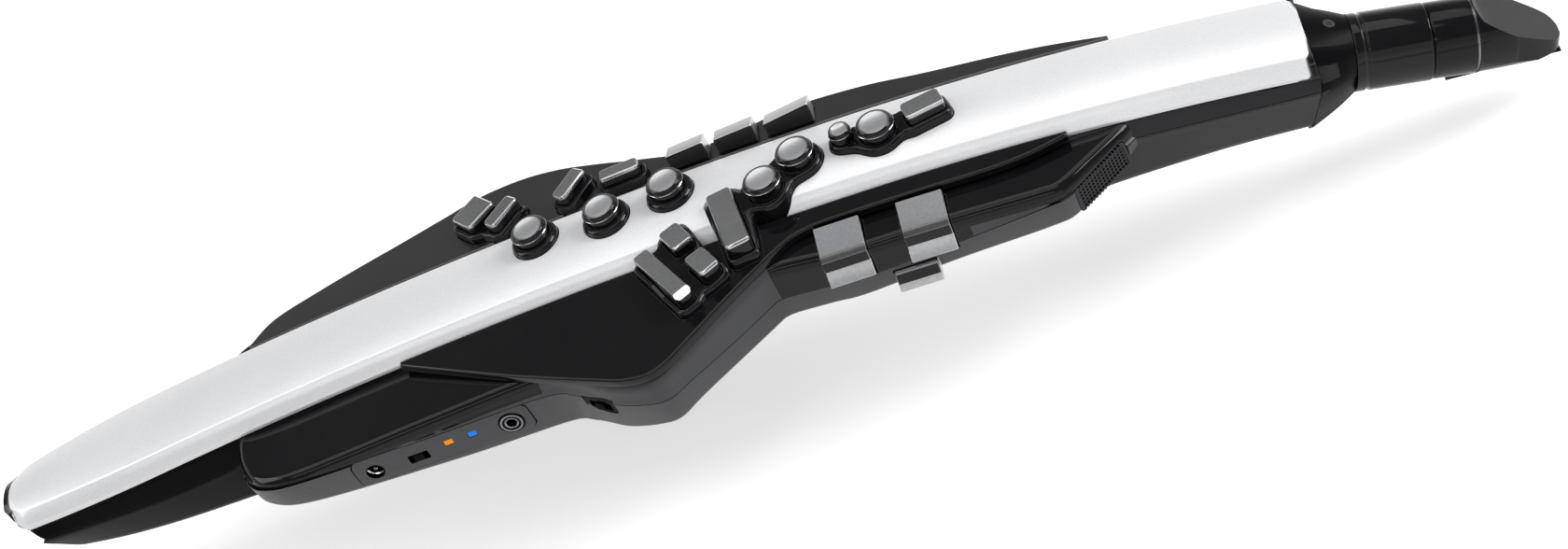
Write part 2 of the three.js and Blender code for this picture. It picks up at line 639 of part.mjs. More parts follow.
function lowSideKeyGeometry() {
  const key = lowSideKey;
  const points = [[key.backY, -key.topDrop], [key.backY, -key.footDrop], [key.footY, -key.footDrop],
    [key.lipY, -key.lipDrop], [key.lipY + key.edge, -key.lipTopDrop], [key.faceY, -key.topDrop - key.edge],
    [key.faceY + key.edge, -key.topDrop]];
  return endPrism(points.map(([y, z]) => new THREE.Vector2(y, z)), key.length, -key.length / 2);
}

function sideSlot(key, openTop, openFoot) {
  const spare = key.clearance;
  const back = key.backY + key.backRoom;
  const top = -key.topDrop + (openTop ? overrun : spare);
  const foot = -key.footDrop - (openFoot ? overrun : spare);
  const mouth = key.lipY - overrun;
  const points = [[back, top], [back, foot], [mouth, foot], [mouth, top]].map(([y, z]) => new THREE.Vector2(y, z));
  return endPrism(points, key.length + 2 * spare, -key.length / 2 - spare);
}

function alongFace(x) {
  return onFace(x, 0);
}

function plateSolid(edge, shares, side, count) {
  const outer = planEdge(shares, edge.startX, edge.endX, edge.reach - panel.half, count)
    .map((p) => new THREE.Vector2(p.x, side * (panel.half + p.y)));
  const inner = straightEdge(outer, side * (panel.half + gap));
  const foot = (x, y) => deckZ(x, y) + gap;
  const top = (drop) => (x, y) => deckZ(x, y) + gap + plate.thickness - drop;
  return solidOf(pillow(outer, inner, [{ inset: plate.edge / 2, height: foot },
    { inset: 0, height: (x, y) => foot(x, y) + plate.edge }, { inset: 0, height: top(plate.edge) },
    { inset: plate.edge, height: top(0) }]));
}

// A frame on an upright wall, with its own X along the wall, Y up and Z outward
function onWall(x, y, z, angleDeg) {
  const angle = THREE.MathUtils.degToRad(angleDeg);
  const along = new THREE.Vector3(Math.cos(angle), Math.sin(angle), 0);
  const up = new THREE.Vector3(0, 0, 1);
  const out = along.clone().cross(up);
  return new THREE.Matrix4().makeBasis(along, up, out).setPosition(x, y, z);
}

function boxAt(length, width, depth, x = 0, y = 0, z = 0) {
  return new THREE.BoxGeometry(length, width, depth).translate(x, y, z);
}

function drum(radius, depth, x, y, topZ, sides) {
  return new THREE.CylinderGeometry(radius, radius, depth, sides).rotateX(Math.PI / 2)
    .translate(x, y, topZ - depth / 2);
}

// Port panel in the near wall, with its inlet, phones jack, power slide and two lamps
const port = { xShare: 0.2373, proud: 0.4, seamGap: 0.2, length: 66, height: 11.4, corner: 2.4, cornerSteps: 3,
  thickness: 2 };
const inlet = { endIn: 7, y: -0.6, holeRadius: 3.3, bodyRadius: 4.6, depth: 10, pinRadius: 0.9, pinLength: 4.6,
  sides: 14 };
const phones = { endIn: 7.5, y: -0.4, holeRadius: 1.8, bodyRadius: 4.4, depth: 11, lip: 0.4, sides: 14 };
const powerSlide = { x: -9.6, y: -1, slotLength: 7.6, slotHeight: 3.8, knobLength: 3.4, knobDepth: 3, proud: 0.6 };
const inletX = inlet.endIn - port.length / 2;
const phonesX = port.length / 2 - phones.endIn;
const lamp = { length: 3.2, height: 2.2, depth: 1.6, powerX: 2.4, wirelessX: 11.4, y: 0.8 };

function portPanelSolid() {
  const ring = roundedQuad(rectangle(port.length, port.height), port.corner, port.cornerSteps);
  const deep = port.thickness + 2 * overrun;
  return cut(
    solidOf(prism(ring, port.thickness).translate(0, 0, -port.thickness)),
    solidOf(drum(inlet.holeRadius, deep, inletX, inlet.y, overrun, inlet.sides)),
    solidOf(drum(phones.bodyRadius + gap, deep, phonesX, phones.y, overrun, phones.sides)),
    solidOf(boxAt(powerSlide.slotLength, powerSlide.slotHeight, deep, powerSlide.x, powerSlide.y)),
    solidOf(boxAt(lamp.length + 2 * gap, lamp.height + 2 * gap, deep, lamp.powerX, lamp.y)),
    solidOf(boxAt(lamp.length + 2 * gap, lamp.height + 2 * gap, deep, lamp.wirelessX, lamp.y)),
  );
}

function portOpening() {
  const ring = roundedQuad(rectangle(port.length + 2 * gap, port.height + 2 * gap), port.corner, port.cornerSteps);
  return prism(ring, 2 * overrun).translate(0, 0, -overrun);
}

function inletGeometry() {
  const mouth = -port.thickness - gap;
  const floor = mouth - inlet.depth;
  const back = floor - port.thickness;
  return lathe([[0, back], [inlet.bodyRadius, back], [inlet.bodyRadius, mouth], [inlet.holeRadius, mouth],
    [inlet.holeRadius, floor], [inlet.pinRadius, floor], [inlet.pinRadius, floor + inlet.pinLength],
    [0, floor + inlet.pinLength]], inlet.sides).translate(inletX, inlet.y, 0);
}

function phonesGeometry() {
  const back = -phones.depth - phones.lip;
  const floor = back + port.thickness;
  return lathe([[0, back], [phones.bodyRadius, back], [phones.bodyRadius, phones.lip],
    [phones.holeRadius, phones.lip], [phones.holeRadius, floor], [0, floor]], phones.sides)
    .translate(phonesX, phones.y, 0);
}

function slideKnob(slide) {
  const height = slide.slotHeight - 2 * gap;
  return boxAt(slide.knobLength, height, slide.knobDepth, 0, 0, slide.proud - slide.knobDepth / 2);
}

// Control slide in a recess on the flank of the low-key bulge
const control = { xShare: 0.4134, yShare: -1.21, seamDrop: 1, angle: -36, length: 14, height: 9, corner: 2,
  cornerSteps: 2, recess: 0.9 };
const controlSlide = { slotLength: 9.4, slotHeight: 3.6, slotDrop: 1.8, knobLength: 3.6, knobDepth: 3.4,
  proud: 0.2 };

function controlOpening() {
  const ring = roundedQuad(rectangle(control.length, control.height), control.corner, control.cornerSteps);
  return solidOf(prism(ring, overrun).translate(0, 0, -control.recess))
    .add(solidOf(boxAt(controlSlide.slotLength, controlSlide.slotHeight, 2 * overrun, 0, -controlSlide.slotDrop)));
}

// Speaker behind a pierced plate in the slanted end of the left-hand block
const grille = { xShare: 0.954, yShare: -0.664, angle: 36.5, length: 25, margin: 0.2, border: 1.5, corner: 1.6,
  cornerSteps: 2, thickness: 1.8, sunk: 0.2, pitch: 3, holeRadius: 0.9, holeSides: 6 };
const grilleX = grille.xShare * (nearEdge.endX - nearEdge.startX) + nearEdge.startX;
const grilleY = grille.yShare * nearEdge.reach;
const grilleTop = deckZ(grilleX, grilleY) - grille.margin;
const grilleFoot = wallFootZ(grilleX) + grille.margin;
const grilleHeight = grilleTop - grilleFoot;
const grilleColumns = Math.floor((grille.length - 2 * grille.border) / grille.pitch) + 1;
const grilleRows = Math.floor((grilleHeight - 2 * grille.border) / grille.pitch) + 1;
const speaker = { radius: 4.6, ovalShare: 1.9, sides: 14, coneDepth: 2, magnetRadius: 2.8, depth: 5.2, rim: 0.9,
  standOff: 0.4 };

function grilleSolid() {
  const ring = roundedQuad(rectangle(grille.length, grilleHeight), grille.corner, grille.cornerSteps);
  const shape = new THREE.Shape(ring);
  for (let column = 0; column < grilleColumns; column += 1) {
    for (let row = 0; row < grilleRows; row += 1) {
      const x = (column - (grilleColumns - 1) / 2) * grille.pitch;
      const y = (row - (grilleRows - 1) / 2) * grille.pitch;
      const hole = Array.from({ length: grille.holeSides }, (_, i) => {
        const angle = -2 * Math.PI * i / grille.holeSides;
        return new THREE.Vector2(x + grille.holeRadius * Math.cos(angle), y + grille.holeRadius * Math.sin(angle));
      });
      shape.holes.push(new THREE.Path(hole));
    }
  }
  return solidOf(new THREE.ExtrudeGeometry(shape, { depth: grille.thickness, bevelEnabled: false })
    .translate(0, 0, -grille.thickness - grille.sunk));
}

function grilleOpening() {
  const ring = roundedQuad(rectangle(grille.length + 2 * gap, grilleHeight + 2 * gap), grille.corner,
    grille.cornerSteps);
  return prism(ring, 3 * overrun).translate(0, 0, -2 * overrun);
}

function speakerGeometry() {
  const face = -grille.thickness - grille.sunk - speaker.standOff;
  const back = face - speaker.depth;
  return lathe([[0, back], [speaker.magnetRadius, back], [speaker.magnetRadius, face - speaker.coneDepth],
    [speaker.radius, face - speaker.rim], [speaker.radius, face], [speaker.radius - speaker.rim, face],
    [0, face - speaker.coneDepth / 2]], speaker.sides).scale(speaker.ovalShare, 1, 1);
}

// Neck collar, tube and mouthpiece along one tilted axis
const tube = { x: 503, z: -41.4, drop: 15, radius: 13.2, length: 25.6, tenonRadius: 8.4, tenonLength: 18,
  boreRadius: 3, grooveAt: 3.2, grooveWidth: 2, grooveDepth: 0.9, chamfer: 0.6, sides: 16 };
const collar = { startGap: 0.4, bendShare: 0.6, bulgeShare: 0.08 };

const tubeFrame = new THREE.Matrix4().makeTranslation(tube.x, 0, tube.z)
  .multiply(new THREE.Matrix4().makeRotationY(THREE.MathUtils.degToRad(90 + tube.drop)));

function collarSection(x) {
  const z = frontZ(x);
  const half = panel.half;
  const seam = seamZ(x);
  const back = backZ(x);
  const wide = core.half + core.flare;
  return [[0, z], [half - panel.crownIn, z - panel.crownDrop], [half - panel.creaseIn, z - panel.creaseDrop],
    [half, z - panel.edgeDrop], [wide - core.flare / 2, (z - panel.edgeDrop + seam) / 2],
    [wide, seam], [wide - core.shoulder / 3, seam - core.shoulder],
    [core.half - coreBack.tuckIn, back + coreBack.tuckUp], [core.half - coreBack.rollIn, back + coreBack.rollUp],
    [core.half * core.backShare, back], [0, back]];
}

function collarGeometry() {
  const startX = body.neckX + collar.startGap;
  const half = collarSection(startX);
  const start = ringAt(startX, mirrored(half));
  const middleZ = (half[0][1] + half.at(-1)[1]) / 2;
  const end = start.map((p) => {
    const angle = Math.atan2(p.y, p.z - middleZ);
    const local = new THREE.Vector3(-Math.cos(angle), Math.sin(angle), 0).multiplyScalar(tube.radius);
    return local.applyMatrix4(tubeFrame);
  });
  const between = start.map((p, i) => p.clone().lerp(end[i], collar.bendShare)
    .add(new THREE.Vector3(0, p.y * collar.bulgeShare, 0)));
  return skinned([start, between, end], mirrorCap(half.length));
}

function airBore() {
  const start = -3 * overrun;
  return placed(lathe([[0, start], [tube.boreRadius, start], [tube.boreRadius, overrun], [0, overrun]],
    tube.sides / 2), tubeFrame);
}

function tubeGeometry() {
  const start = gap;
  const groove = start + tube.grooveAt;
  const shoulder = start + tube.length;
  const end = shoulder + tube.tenonLength;
  const inner = tube.radius - tube.grooveDepth;
  return lathe([[tube.boreRadius, start], [tube.radius, start], [tube.radius, groove], [inner, groove],
    [inner, groove + tube.grooveWidth], [tube.radius, groove + tube.grooveWidth],
    [tube.radius, shoulder - tube.chamfer], [tube.radius - tube.chamfer, shoulder], [tube.tenonRadius, shoulder],
    [tube.tenonRadius, end], [tube.boreRadius, end], [tube.boreRadius, start]], tube.sides);
}

const mouthpiece = { clear: 0.7, length: 44.5, step: 0.3, tipRadius: 11.6, beakAt: 15.2, tipTop: -3.4, tipFoot: -6.6,
  tableAt: 4.7, tableDrop: 11.3, boreRoom: 2.1, chamberRadius: 5, chamberLength: 7, slotWidth: 9, slotHeight: 1.6,
  tipHalf: 4.5, cheekHalf: 9.2, cheekShare: 0.72, ringWidth: 0.9, ringDepth: 0.5, sides: 20 };
const mouth = { start: tube.length + mouthpiece.clear, radius: tube.radius - mouthpiece.step,
  boreRadius: tube.tenonRadius + gap };
mouth.end = mouth.start + mouthpiece.length;
mouth.beakStart = mouth.start + mouthpiece.beakAt;
mouth.tableStart = mouth.start + mouthpiece.tableAt;
mouth.boreEnd = tube.length + tube.tenonLength + mouthpiece.boreRoom;
mouth.chamberEnd = mouth.boreEnd + mouthpiece.chamberLength;
const reed = { heelIn: 0.5, tipIn: 0.4, heelThickness: 1.7, tipThickness: 0.5, tipOpening: 1.1, width: 12.4 };
const reedStart = mouth.tableStart + reed.heelIn;
const reedEnd = mouth.end - reed.tipIn;

// The tube frame points +Z along the tube and +X downward, so a side profile is (along, up)
function tubeSidePrism(points, width) {
  const matrix = new THREE.Matrix4().makeBasis(
    new THREE.Vector3(0, 0, 1), new THREE.Vector3(-1, 0, 0), new THREE.Vector3(0, -1, 0));
  return prism(points.map(([along, up]) => new THREE.Vector2(along, up)), width)
    .translate(0, 0, -width / 2).applyMatrix4(matrix);
}

function tubePlanPrism(points, height) {
  const matrix = new THREE.Matrix4().makeBasis(
    new THREE.Vector3(0, 0, 1), new THREE.Vector3(0, 1, 0), new THREE.Vector3(-1, 0, 0));
  return prism(points.map(([along, across]) => new THREE.Vector2(along, across)), height)
    .translate(0, 0, -height / 2).applyMatrix4(matrix);
}

function mouthpieceSolid() {
  const m = { ...mouthpiece, ...mouth };
  const wide = m.radius + overrun;
  const ring = m.beakStart - m.ringWidth;
  const turned = lathe([[0, m.start], [m.radius - m.ringDepth, m.start], [m.radius, m.start + m.ringWidth],
    [m.radius, ring], [m.radius - m.ringDepth, ring], [m.radius - m.ringDepth, m.beakStart],
    [m.radius, m.beakStart], [m.tipRadius, m.end + overrun], [0, m.end + overrun]], m.sides);
  const side = tubeSidePrism([[m.start - overrun, wide], [m.beakStart, wide], [m.beakStart, m.radius],
    [m.end, m.tipTop], [m.end, m.tipFoot], [m.tableStart, -m.tableDrop], [m.start - overrun, -m.tableDrop - overrun]],
  2 * wide);
  const cheekX = m.beakStart + (m.end - m.beakStart) * m.cheekShare;
  const plan = tubePlanPrism([[m.start - overrun, -wide], [m.beakStart, -wide], [m.beakStart, -m.radius],
    [cheekX, -m.cheekHalf], [m.end - m.tipHalf / 2, -m.cheekHalf * m.cheekShare], [m.end, -m.tipHalf / 2],
    [m.end, m.tipHalf / 2], [m.end - m.tipHalf / 2, m.cheekHalf * m.cheekShare], [cheekX, m.cheekHalf],
    [m.beakStart, m.radius], [m.beakStart, wide], [m.start - overrun, wide]], 2 * wide);
  const bore = lathe([[0, m.start - overrun], [m.boreRadius, m.start - overrun], [m.boreRadius, m.boreEnd],
    [m.chamberRadius, m.boreEnd + overrun / 2], [m.chamberRadius, m.chamberEnd], [0, m.chamberEnd]], m.sides);
  const slotUp = (m.tipTop + m.tipFoot) / 2;
  const slotStart = m.chamberEnd - overrun;
  const slot = tubeSidePrism([[slotStart, slotUp + m.slotHeight / 2], [m.end + overrun, slotUp + m.slotHeight / 2],
    [m.end + overrun, slotUp - m.slotHeight / 2], [slotStart, slotUp - m.slotHeight / 2]], m.slotWidth);
  return cut(solidOf(turned).intersect(solidOf(side)).intersect(solidOf(plan)), solidOf(bore), solidOf(slot));
}

function tableUp(along) {
  const share = (along - mouth.tableStart) / (mouth.end - mouth.tableStart);
  return -mouthpiece.tableDrop + (mouthpiece.tableDrop + mouthpiece.tipFoot) * share;
}

function reedGeometry() {
  const heel = tableUp(reedStart) - gap;
  const tip = tableUp(reedEnd) - reed.tipOpening;
  return tubeSidePrism([[reedStart, heel], [reedEnd, tip], [reedEnd, tip - reed.tipThickness],
    [reedStart, heel - reed.heelThickness]], reed.width);
}

// Back: thumb hook on its rail, strap ring, thumb rest with octave keys, thumb pad, display and buttons
const hook = { x: 236, width: 15, plateLength: 28, plateThickness: 2.6, height: 31.2, arm: 4.2, reach: 19, lip: 3.2,
  curveSteps: 6 };
const ringLoop = { x: 300, width: 3, outerHalf: 8.5, innerHalf: 5.2, height: 13, foot: 2, steps: 6 };
const octaveKey = { length: 15, width: 15, corner: 3, cornerSteps: 3, proud: 2.6, inside: 4, chamfer: 0.6,
  clearance: 0.4 };
const octaveKeyShares = [['octave_down_key', 0.6789], ['octave_up_key', 0.752]];
const octaveKeys = octaveKeyShares.map(([name, share]) => ({ name, x: share * body.neckX }));
const thumbRest = { x: 352, radius: 8.4, proud: 1.8, dish: 0.6, inside: 3, sides: 16 };
const thumbPad = { x: 264, radius: 7, proud: 3, inside: 3, sides: 16, clearance: 0.5, dome: 0.8 };
const display = { x: 405, length: 26, width: 13, corner: 1.2, cornerSteps: 2, inside: 1.8, proud: 0.2 };
const menuButton = { radius: 2.6, proud: 0.9, inside: 3, clearance: 0.3, sides: 12 };
const menuButtonShares = [['menu_minus_button', 0.8679], ['menu_plus_button', 0.8841]];
const menuButtons = menuButtonShares.map(([name, share]) => ({ name, x: share * body.neckX }));

// A frame on the back, with its own Z pointing out of the back
function onBack(x) {
  const slope = Math.atan((backZ(x + overrun) - backZ(x - overrun)) / (2 * overrun));
  return new THREE.Matrix4().makeTranslation(x, 0, backZ(x))
    .multiply(new THREE.Matrix4().makeRotationY(Math.PI - slope));
}

function hookGeometry() {
  const h = hook;
  const half = h.plateLength / 2;
  const top = gap + h.plateThickness;
  const shape = new THREE.Shape();
  shape.moveTo(-half, gap);
  shape.lineTo(half, gap);
  shape.lineTo(half, top);
  shape.lineTo(-half + 2 * h.arm, top);
  shape.quadraticCurveTo(-half + h.arm, h.height / 2, 0, h.height - h.arm);
  shape.quadraticCurveTo(h.reach / 2, h.height - h.arm / 2, h.reach, h.height - h.arm - h.lip);
  shape.lineTo(h.reach + h.arm / 2, h.height - h.arm);
  shape.quadraticCurveTo(h.reach / 2, h.height + h.arm / 2, -h.arm, h.height - h.arm / 2);
  shape.quadraticCurveTo(-half, h.height / 2, -half + h.arm, top);
  shape.lineTo(-half, top);
  const depth = h.width;
  return new THREE.ExtrudeGeometry(shape, { depth, bevelEnabled: false, curveSegments: h.curveSteps })
    .applyMatrix4(sideOn).translate(0, depth / 2, 0);
}

function strapRingGeometry() {
  const r = ringLoop;
  const top = r.height - r.outerHalf;
  const shape = new THREE.Shape();
  shape.moveTo(r.outerHalf, gap);
  shape.lineTo(r.outerHalf, top);
  shape.absarc(0, top, r.outerHalf, 0, Math.PI, false);
  shape.lineTo(-r.outerHalf, gap);
  const hole = new THREE.Path();
  hole.moveTo(r.innerHalf, gap + r.foot);
  hole.lineTo(-r.innerHalf, gap + r.foot);
  hole.lineTo(-r.innerHalf, top);
  hole.absarc(0, top, r.innerHalf, Math.PI, 0, true);
  shape.holes.push(hole);
  return new THREE.ExtrudeGeometry(shape, { depth: r.width, bevelEnabled: false, curveSegments: r.steps })
    .applyMatrix4(sideOn).translate(0, r.width / 2, 0);
}

function octaveGeometry() {
  const key = octaveKey;
  const ring = roundedQuad(rectangle(key.length, key.width), key.corner, key.cornerSteps);
  return block(ring, [{ inset: 0, z: -key.inside }, { inset: 0, z: key.proud - key.chamfer },
    { inset: key.chamfer, z: key.proud }]);
}

function octaveWell() {
  const key = octaveKey;
  const ring = roundedQuad(rectangle(key.length + 2 * key.clearance, key.width + 2 * key.clearance), key.corner,
    key.cornerSteps);
  return prism(ring, 2 * overrun).translate(0, 0, -overrun);
}

function thumbRestGeometry() {
  const rest = thumbRest;
  return lathe([[0, -rest.inside], [rest.radius, -rest.inside], [rest.radius, rest.proud - rest.dish],
    [rest.radius - rest.dish, rest.proud], [0, rest.proud - rest.dish]], rest.sides);
}

function thumbPadGeometry() {
  const pad = thumbPad;
  return lathe([[0, -pad.inside], [pad.radius, -pad.inside], [pad.radius, pad.proud - pad.dome],
    [pad.radius - pad.dome, pad.proud], [0, pad.proud + pad.dome]], pad.sides);
}

function displayGeometry() {
  const ring = roundedQuad(rectangle(display.length, display.width), display.corner, display.cornerSteps);
  return prism(ring, display.inside + display.proud).translate(0, 0, -display.inside);
}

function displayOpening() {
  const ring = roundedQuad(rectangle(display.length + 2 * gap, display.width + 2 * gap), display.corner,
    display.cornerSteps);
  return prism(ring, 2 * overrun).translate(0, 0, -overrun);
}

function roundOpening(radius, sides) {
  return drum(radius, 2 * overrun, 0, 0, overrun, sides);
}

// Batteries, their holder and cover
const cell = { radius: 7.1, length: 50, sides: 12, rows: 3, columns: 2, endGap: 1, sideGap: 0.8, firstX: 67.5 };
const holder = { wall: 1, roof: 1.2, clearance: 0.4, floorGap: 3, channelSteps: 7 };
const cover = { startIn: 2, halfWidth: 16, lift: 7 };
const rowPitch = cell.length + cell.endGap;
const columnPitch = 2 * cell.radius + cell.sideGap;
const cellsMidX = cell.firstX + (cell.rows * rowPitch - cell.endGap) / 2;
const cellZ = backZ(cell.firstX) + body.wall + holder.floorGap + cell.radius;

function holderSolid() {
  const inside = cell.rows * rowPitch + 2 * holder.clearance;
  const halfWidth = cell.columns * columnPitch / 2 + holder.wall;
  const length = inside + 2 * holder.wall;
  const top = cellZ + cell.radius + holder.clearance + holder.roof;
  const shell = boxAt(length, 2 * halfWidth, top - cellZ, cellsMidX, 0, (top + cellZ) / 2);
  const reach = cell.radius + holder.clearance;
  const channels = Array.from({ length: cell.columns }, (_, column) => {
    const midY = (column - (cell.columns - 1) / 2) * columnPitch;
    const arc = stationsOf(0, Math.PI, holder.channelSteps)
      .map((a) => new THREE.Vector2(midY + reach * Math.cos(a), cellZ + reach * Math.sin(a)));
    arc.push(new THREE.Vector2(midY - reach, cellZ - overrun), new THREE.Vector2(midY + reach, cellZ - overrun));
    return solidOf(endPrism(arc, inside, cellsMidX - inside / 2));
  });
  return cut(solidOf(shell), ...channels);
}

function coverBounds(spare) {
  const length = cell.rows * rowPitch - cell.endGap + 2 * (cover.startIn + spare);
  const top = backZ(cellsMidX) + cover.lift + spare;
  return boxAt(length, 2 * (cover.halfWidth + spare), farReach, cellsMidX, 0, top - farReach / 2);
}

// Circuit board, breath sensor and the air tube that feeds it
const board = { startX: 224, endX: 389, half: 14, thickness: 1.6, z: -24 };
const sensor = { x: 384, length: 10, width: 10, height: 5 };
const airTube = { radius: 3, sides: 8, steps: 7, endX: 487.5, startClear: 0.8 };

function boardGeometry() {
  const length = board.endX - board.startX;
  return boxAt(length, 2 * board.half, board.thickness, board.startX + length / 2, 0, board.z);
}

function sensorGeometry() {
  const foot = board.z + board.thickness / 2 + gap;
  return boxAt(sensor.length, sensor.width, sensor.height, sensor.x, 0, foot + sensor.height / 2);
}

function airTubeGeometry() {
  const startX = sensor.x + sensor.length / 2 + airTube.startClear;
  const startZ = board.z + board.thickness / 2 + gap + sensor.height / 2;
  const slope = Math.tan(THREE.MathUtils.degToRad(tube.drop));
  const endZ = tube.z + (tube.x - airTube.endX) * slope;
  const midX = (startX + airTube.endX) / 2;
  const curve = new THREE.QuadraticBezierCurve3(
    new THREE.Vector3(startX, 0, startZ),
    new THREE.Vector3(midX, 0, endZ + (airTube.endX - midX) * slope / 2),
    new THREE.Vector3(airTube.endX, 0, endZ));
  const section = Array.from({ length: airTube.sides }, (_, i) => {
    const angle = 2 * Math.PI * i / airTube.sides;
    return new THREE.Vector2(airTube.radius * Math.cos(angle), airTube.radius * Math.sin(angle));
  });
  return new THREE.ExtrudeGeometry(new THREE.Shape(section), { steps: airTube.steps, extrudePath: curve });
}

// Placing of every frame that both a piece and its seat use
const nearRun = nearEdge.endX - nearEdge.startX;
const portX = nearEdge.startX + port.xShare * nearRun;
const portZ = seamZ(portX) - port.seamGap - port.height / 2;
const portFrame = onWall(portX, -nearEdge.reach - port.proud, portZ, 0);
const controlX = nearEdge.startX + control.xShare * nearRun;
const controlZ = seamZ(controlX) - control.seamDrop;
const controlFrame = onWall(controlX, control.yShare * nearEdge.reach, controlZ, control.angle);
const grilleFrame = onWall(grilleX, grilleY, (grilleTop + grilleFoot) / 2, grille.angle);

function raisedBases() {
  return join(
    ...roundKeys.map((key) => placed(roundCollar(key.fullShare), onFace(key.x, key.y))),
    ...barKeys.map((key) => placed(barBase(key), barPlace(key))),
  );
}

function baseRooms() {
  return join(
    ...roundKeys.map((key) => placed(roundCollarRoom(key.fullShare), onFace(key.x, key.y))),
    ...barKeys.map((key) => placed(barBaseRoom(key), barPlace(key))),
  );
}

function keyOpenings() {
  return join(
    ...roundKeys.map((key) => placed(roundWell(key.fullShare), onFace(key.x, key.y))),
    ...barKeys.map((key) => placed(barWell(key), barPlace(key))),
    ...palmKeys.map((key) => placed(palmWell(key), alongFace(key.x))),
  );
}

function wallOpenings() {
  return join(
    ...sideKeys.map((key) => placed(sideSlot(sideKey, true, false), alongFace(key.x))),
    placed(sideSlot(lowSideKey, false, true), alongFace(lowSideKey.x)),
    placed(grilleOpening(), grilleFrame),
    controlOpening().transform(controlFrame.elements),
  );
}

function lowerOpenings() {
  return join(
    placed(portOpening(), portFrame),
    ...octaveKeys.map((key) => placed(octaveWell(), onBack(key.x))),
    placed(roundOpening(thumbRest.radius + gap, thumbRest.sides), onBack(thumbRest.x)),
    placed(roundOpening(thumbPad.radius + thumbPad.clearance, thumbPad.sides), onBack(thumbPad.x)),
    placed(displayOpening(), onBack(display.x)),
    ...menuButtons.map((b) => placed(roundOpening(menuButton.radius + menuButton.clearance, menuButton.sides),
      onBack(b.x))),
  );
}

const baseRoom = baseRooms();
const wells = keyOpenings();
const caseSolid = cut(caseStock(), caseRoom()).add(raisedBases());
const caseOpen = cut(caseSolid, wells, wallOpenings(), airBore());
const upperSolid = mainBody(caseOpen.intersect(beyondLine(seamZ, gap / 2, 1)));
const lowerSolid = mainBody(cut(caseOpen.intersect(beyondLine(seamZ, -gap / 2, -1)), lowerOpenings()));
const coverSolid = lowerSolid.intersect(solidOf(coverBounds(0)));

addMesh('upper_case', 'gloss', geometryOf(upperSolid));
addMesh('lower_case', 'matt', geometryOf(cut(lowerSolid, solidOf(coverBounds(gap)))));
addMesh('battery_cover', 'matt', geometryOf(coverSolid));
addMesh('front_panel', 'silver', geometryOf(cut(panelStock(), baseRoom)));
addMesh('near_key_plate', 'gloss', geometryOf(cut(plateSolid(nearPlate, nearPlateShares, -1, 25), baseRoom,
  wallOpenings())));
addMesh('far_key_plate', 'gloss', geometryOf(cut(plateSolid(farPlate, farPlateShares, 1, 23), baseRoom, wells)));
addMesh('neck_collar', 'matt', geometryOf(cut(solidOf(collarGeometry()), airBore())));
addMesh('mouthpiece_tube', 'gloss', tubeGeometry(), tubeFrame);
addMesh('mouthpiece', 'resin', geometryOf(mouthpieceSolid()), tubeFrame);
addMesh('reed', 'resin', reedGeometry(), tubeFrame);
addMesh('port_panel', 'matt', geometryOf(portPanelSolid()), portFrame);
addMesh('power_inlet', 'matt', inletGeometry(), portFrame);
addMesh('phones_jack', 'matt', phonesGeometry(), portFrame);
addMesh('power_slide', 'gloss', slideKnob(powerSlide).translate(powerSlide.x, powerSlide.y, 0), portFrame);
for (const [name, finish, x] of [['power_lamp', 'amber', lamp.powerX], ['wireless_lamp', 'blue', lamp.wirelessX]]) {
  addMesh(name, finish, boxAt(lamp.length, lamp.height, lamp.depth, x, lamp.y, -lamp.depth / 2), portFrame);
}
addMesh('control_slide', 'gloss', slideKnob(controlSlide).translate(0, -controlSlide.slotDrop, 0), controlFrame);
addMesh('speaker_grille', 'matt', geometryOf(grilleSolid()), grilleFrame);
addMesh('speaker', 'matt', speakerGeometry(), grilleFrame);

for (const key of roundKeys) {
  addMesh(key.name, 'keyCap', roundKeyGeometry(key.fullShare), onFace(key.x, key.y));
}
for (const key of barKeys) {
  addMesh(key.name, 'keyCap', geometryOf(barKeySolid(key)), barPlace(key));
}
for (const key of palmKeys) {
  addMesh(key.name, 'chrome', palmGeometry(key), alongFace(key.x));
}
for (const key of sideKeys) {
  addMesh(key.name, 'chrome', sideKeyGeometry(), alongFace(key.x));
}
addMesh(lowSideKey.name, 'chrome', lowSideKeyGeometry(), alongFace(lowSideKey.x));

addMesh('thumb_hook', 'matt', hookGeometry(), onBack(hook.x));
addMesh('strap_ring', 'chrome', strapRingGeometry(), onBack(ringLoop.x));
for (const key of octaveKeys) {
  addMesh(key.name, 'keyCap', octaveGeometry(), onBack(key.x));
}
addMesh('thumb_rest', 'rubber', thumbRestGeometry(), onBack(thumbRest.x));
addMesh('thumb_pad', 'rubber', thumbPadGeometry(), onBack(thumbPad.x));
addMesh('display_window', 'glass', displayGeometry(), onBack(display.x));
for (const button of menuButtons) {
  addMesh(button.name, 'gloss', drum(menuButton.radius, menuButton.proud + menuButton.inside, 0, 0, menuButton.proud,
    menuButton.sides), onBack(button.x));
}

addMesh('battery_holder', 'matt', geometryOf(holderSolid()));
for (let row = 0; row < cell.rows; row += 1) {
  for (let column = 0; column < cell.columns; column += 1) {
    const x = cellsMidX + (row - (cell.rows - 1) / 2) * rowPitch;
    const y = (column - (cell.columns - 1) / 2) * columnPitch;
    const body = new THREE.CylinderGeometry(cell.radius, cell.radius, cell.length, cell.sides).rotateZ(Math.PI / 2);
    addMesh(`cell_${row + 1}_${column + 1}`, 'cell', body, new THREE.Matrix4().makeTranslation(x, y, cellZ));
  }
}
addMesh('main_board', 'board', boardGeometry());
addMesh('breath_sensor', 'matt', sensorGeometry());
addMesh('air_tube', 'rubber', airTubeGeometry());

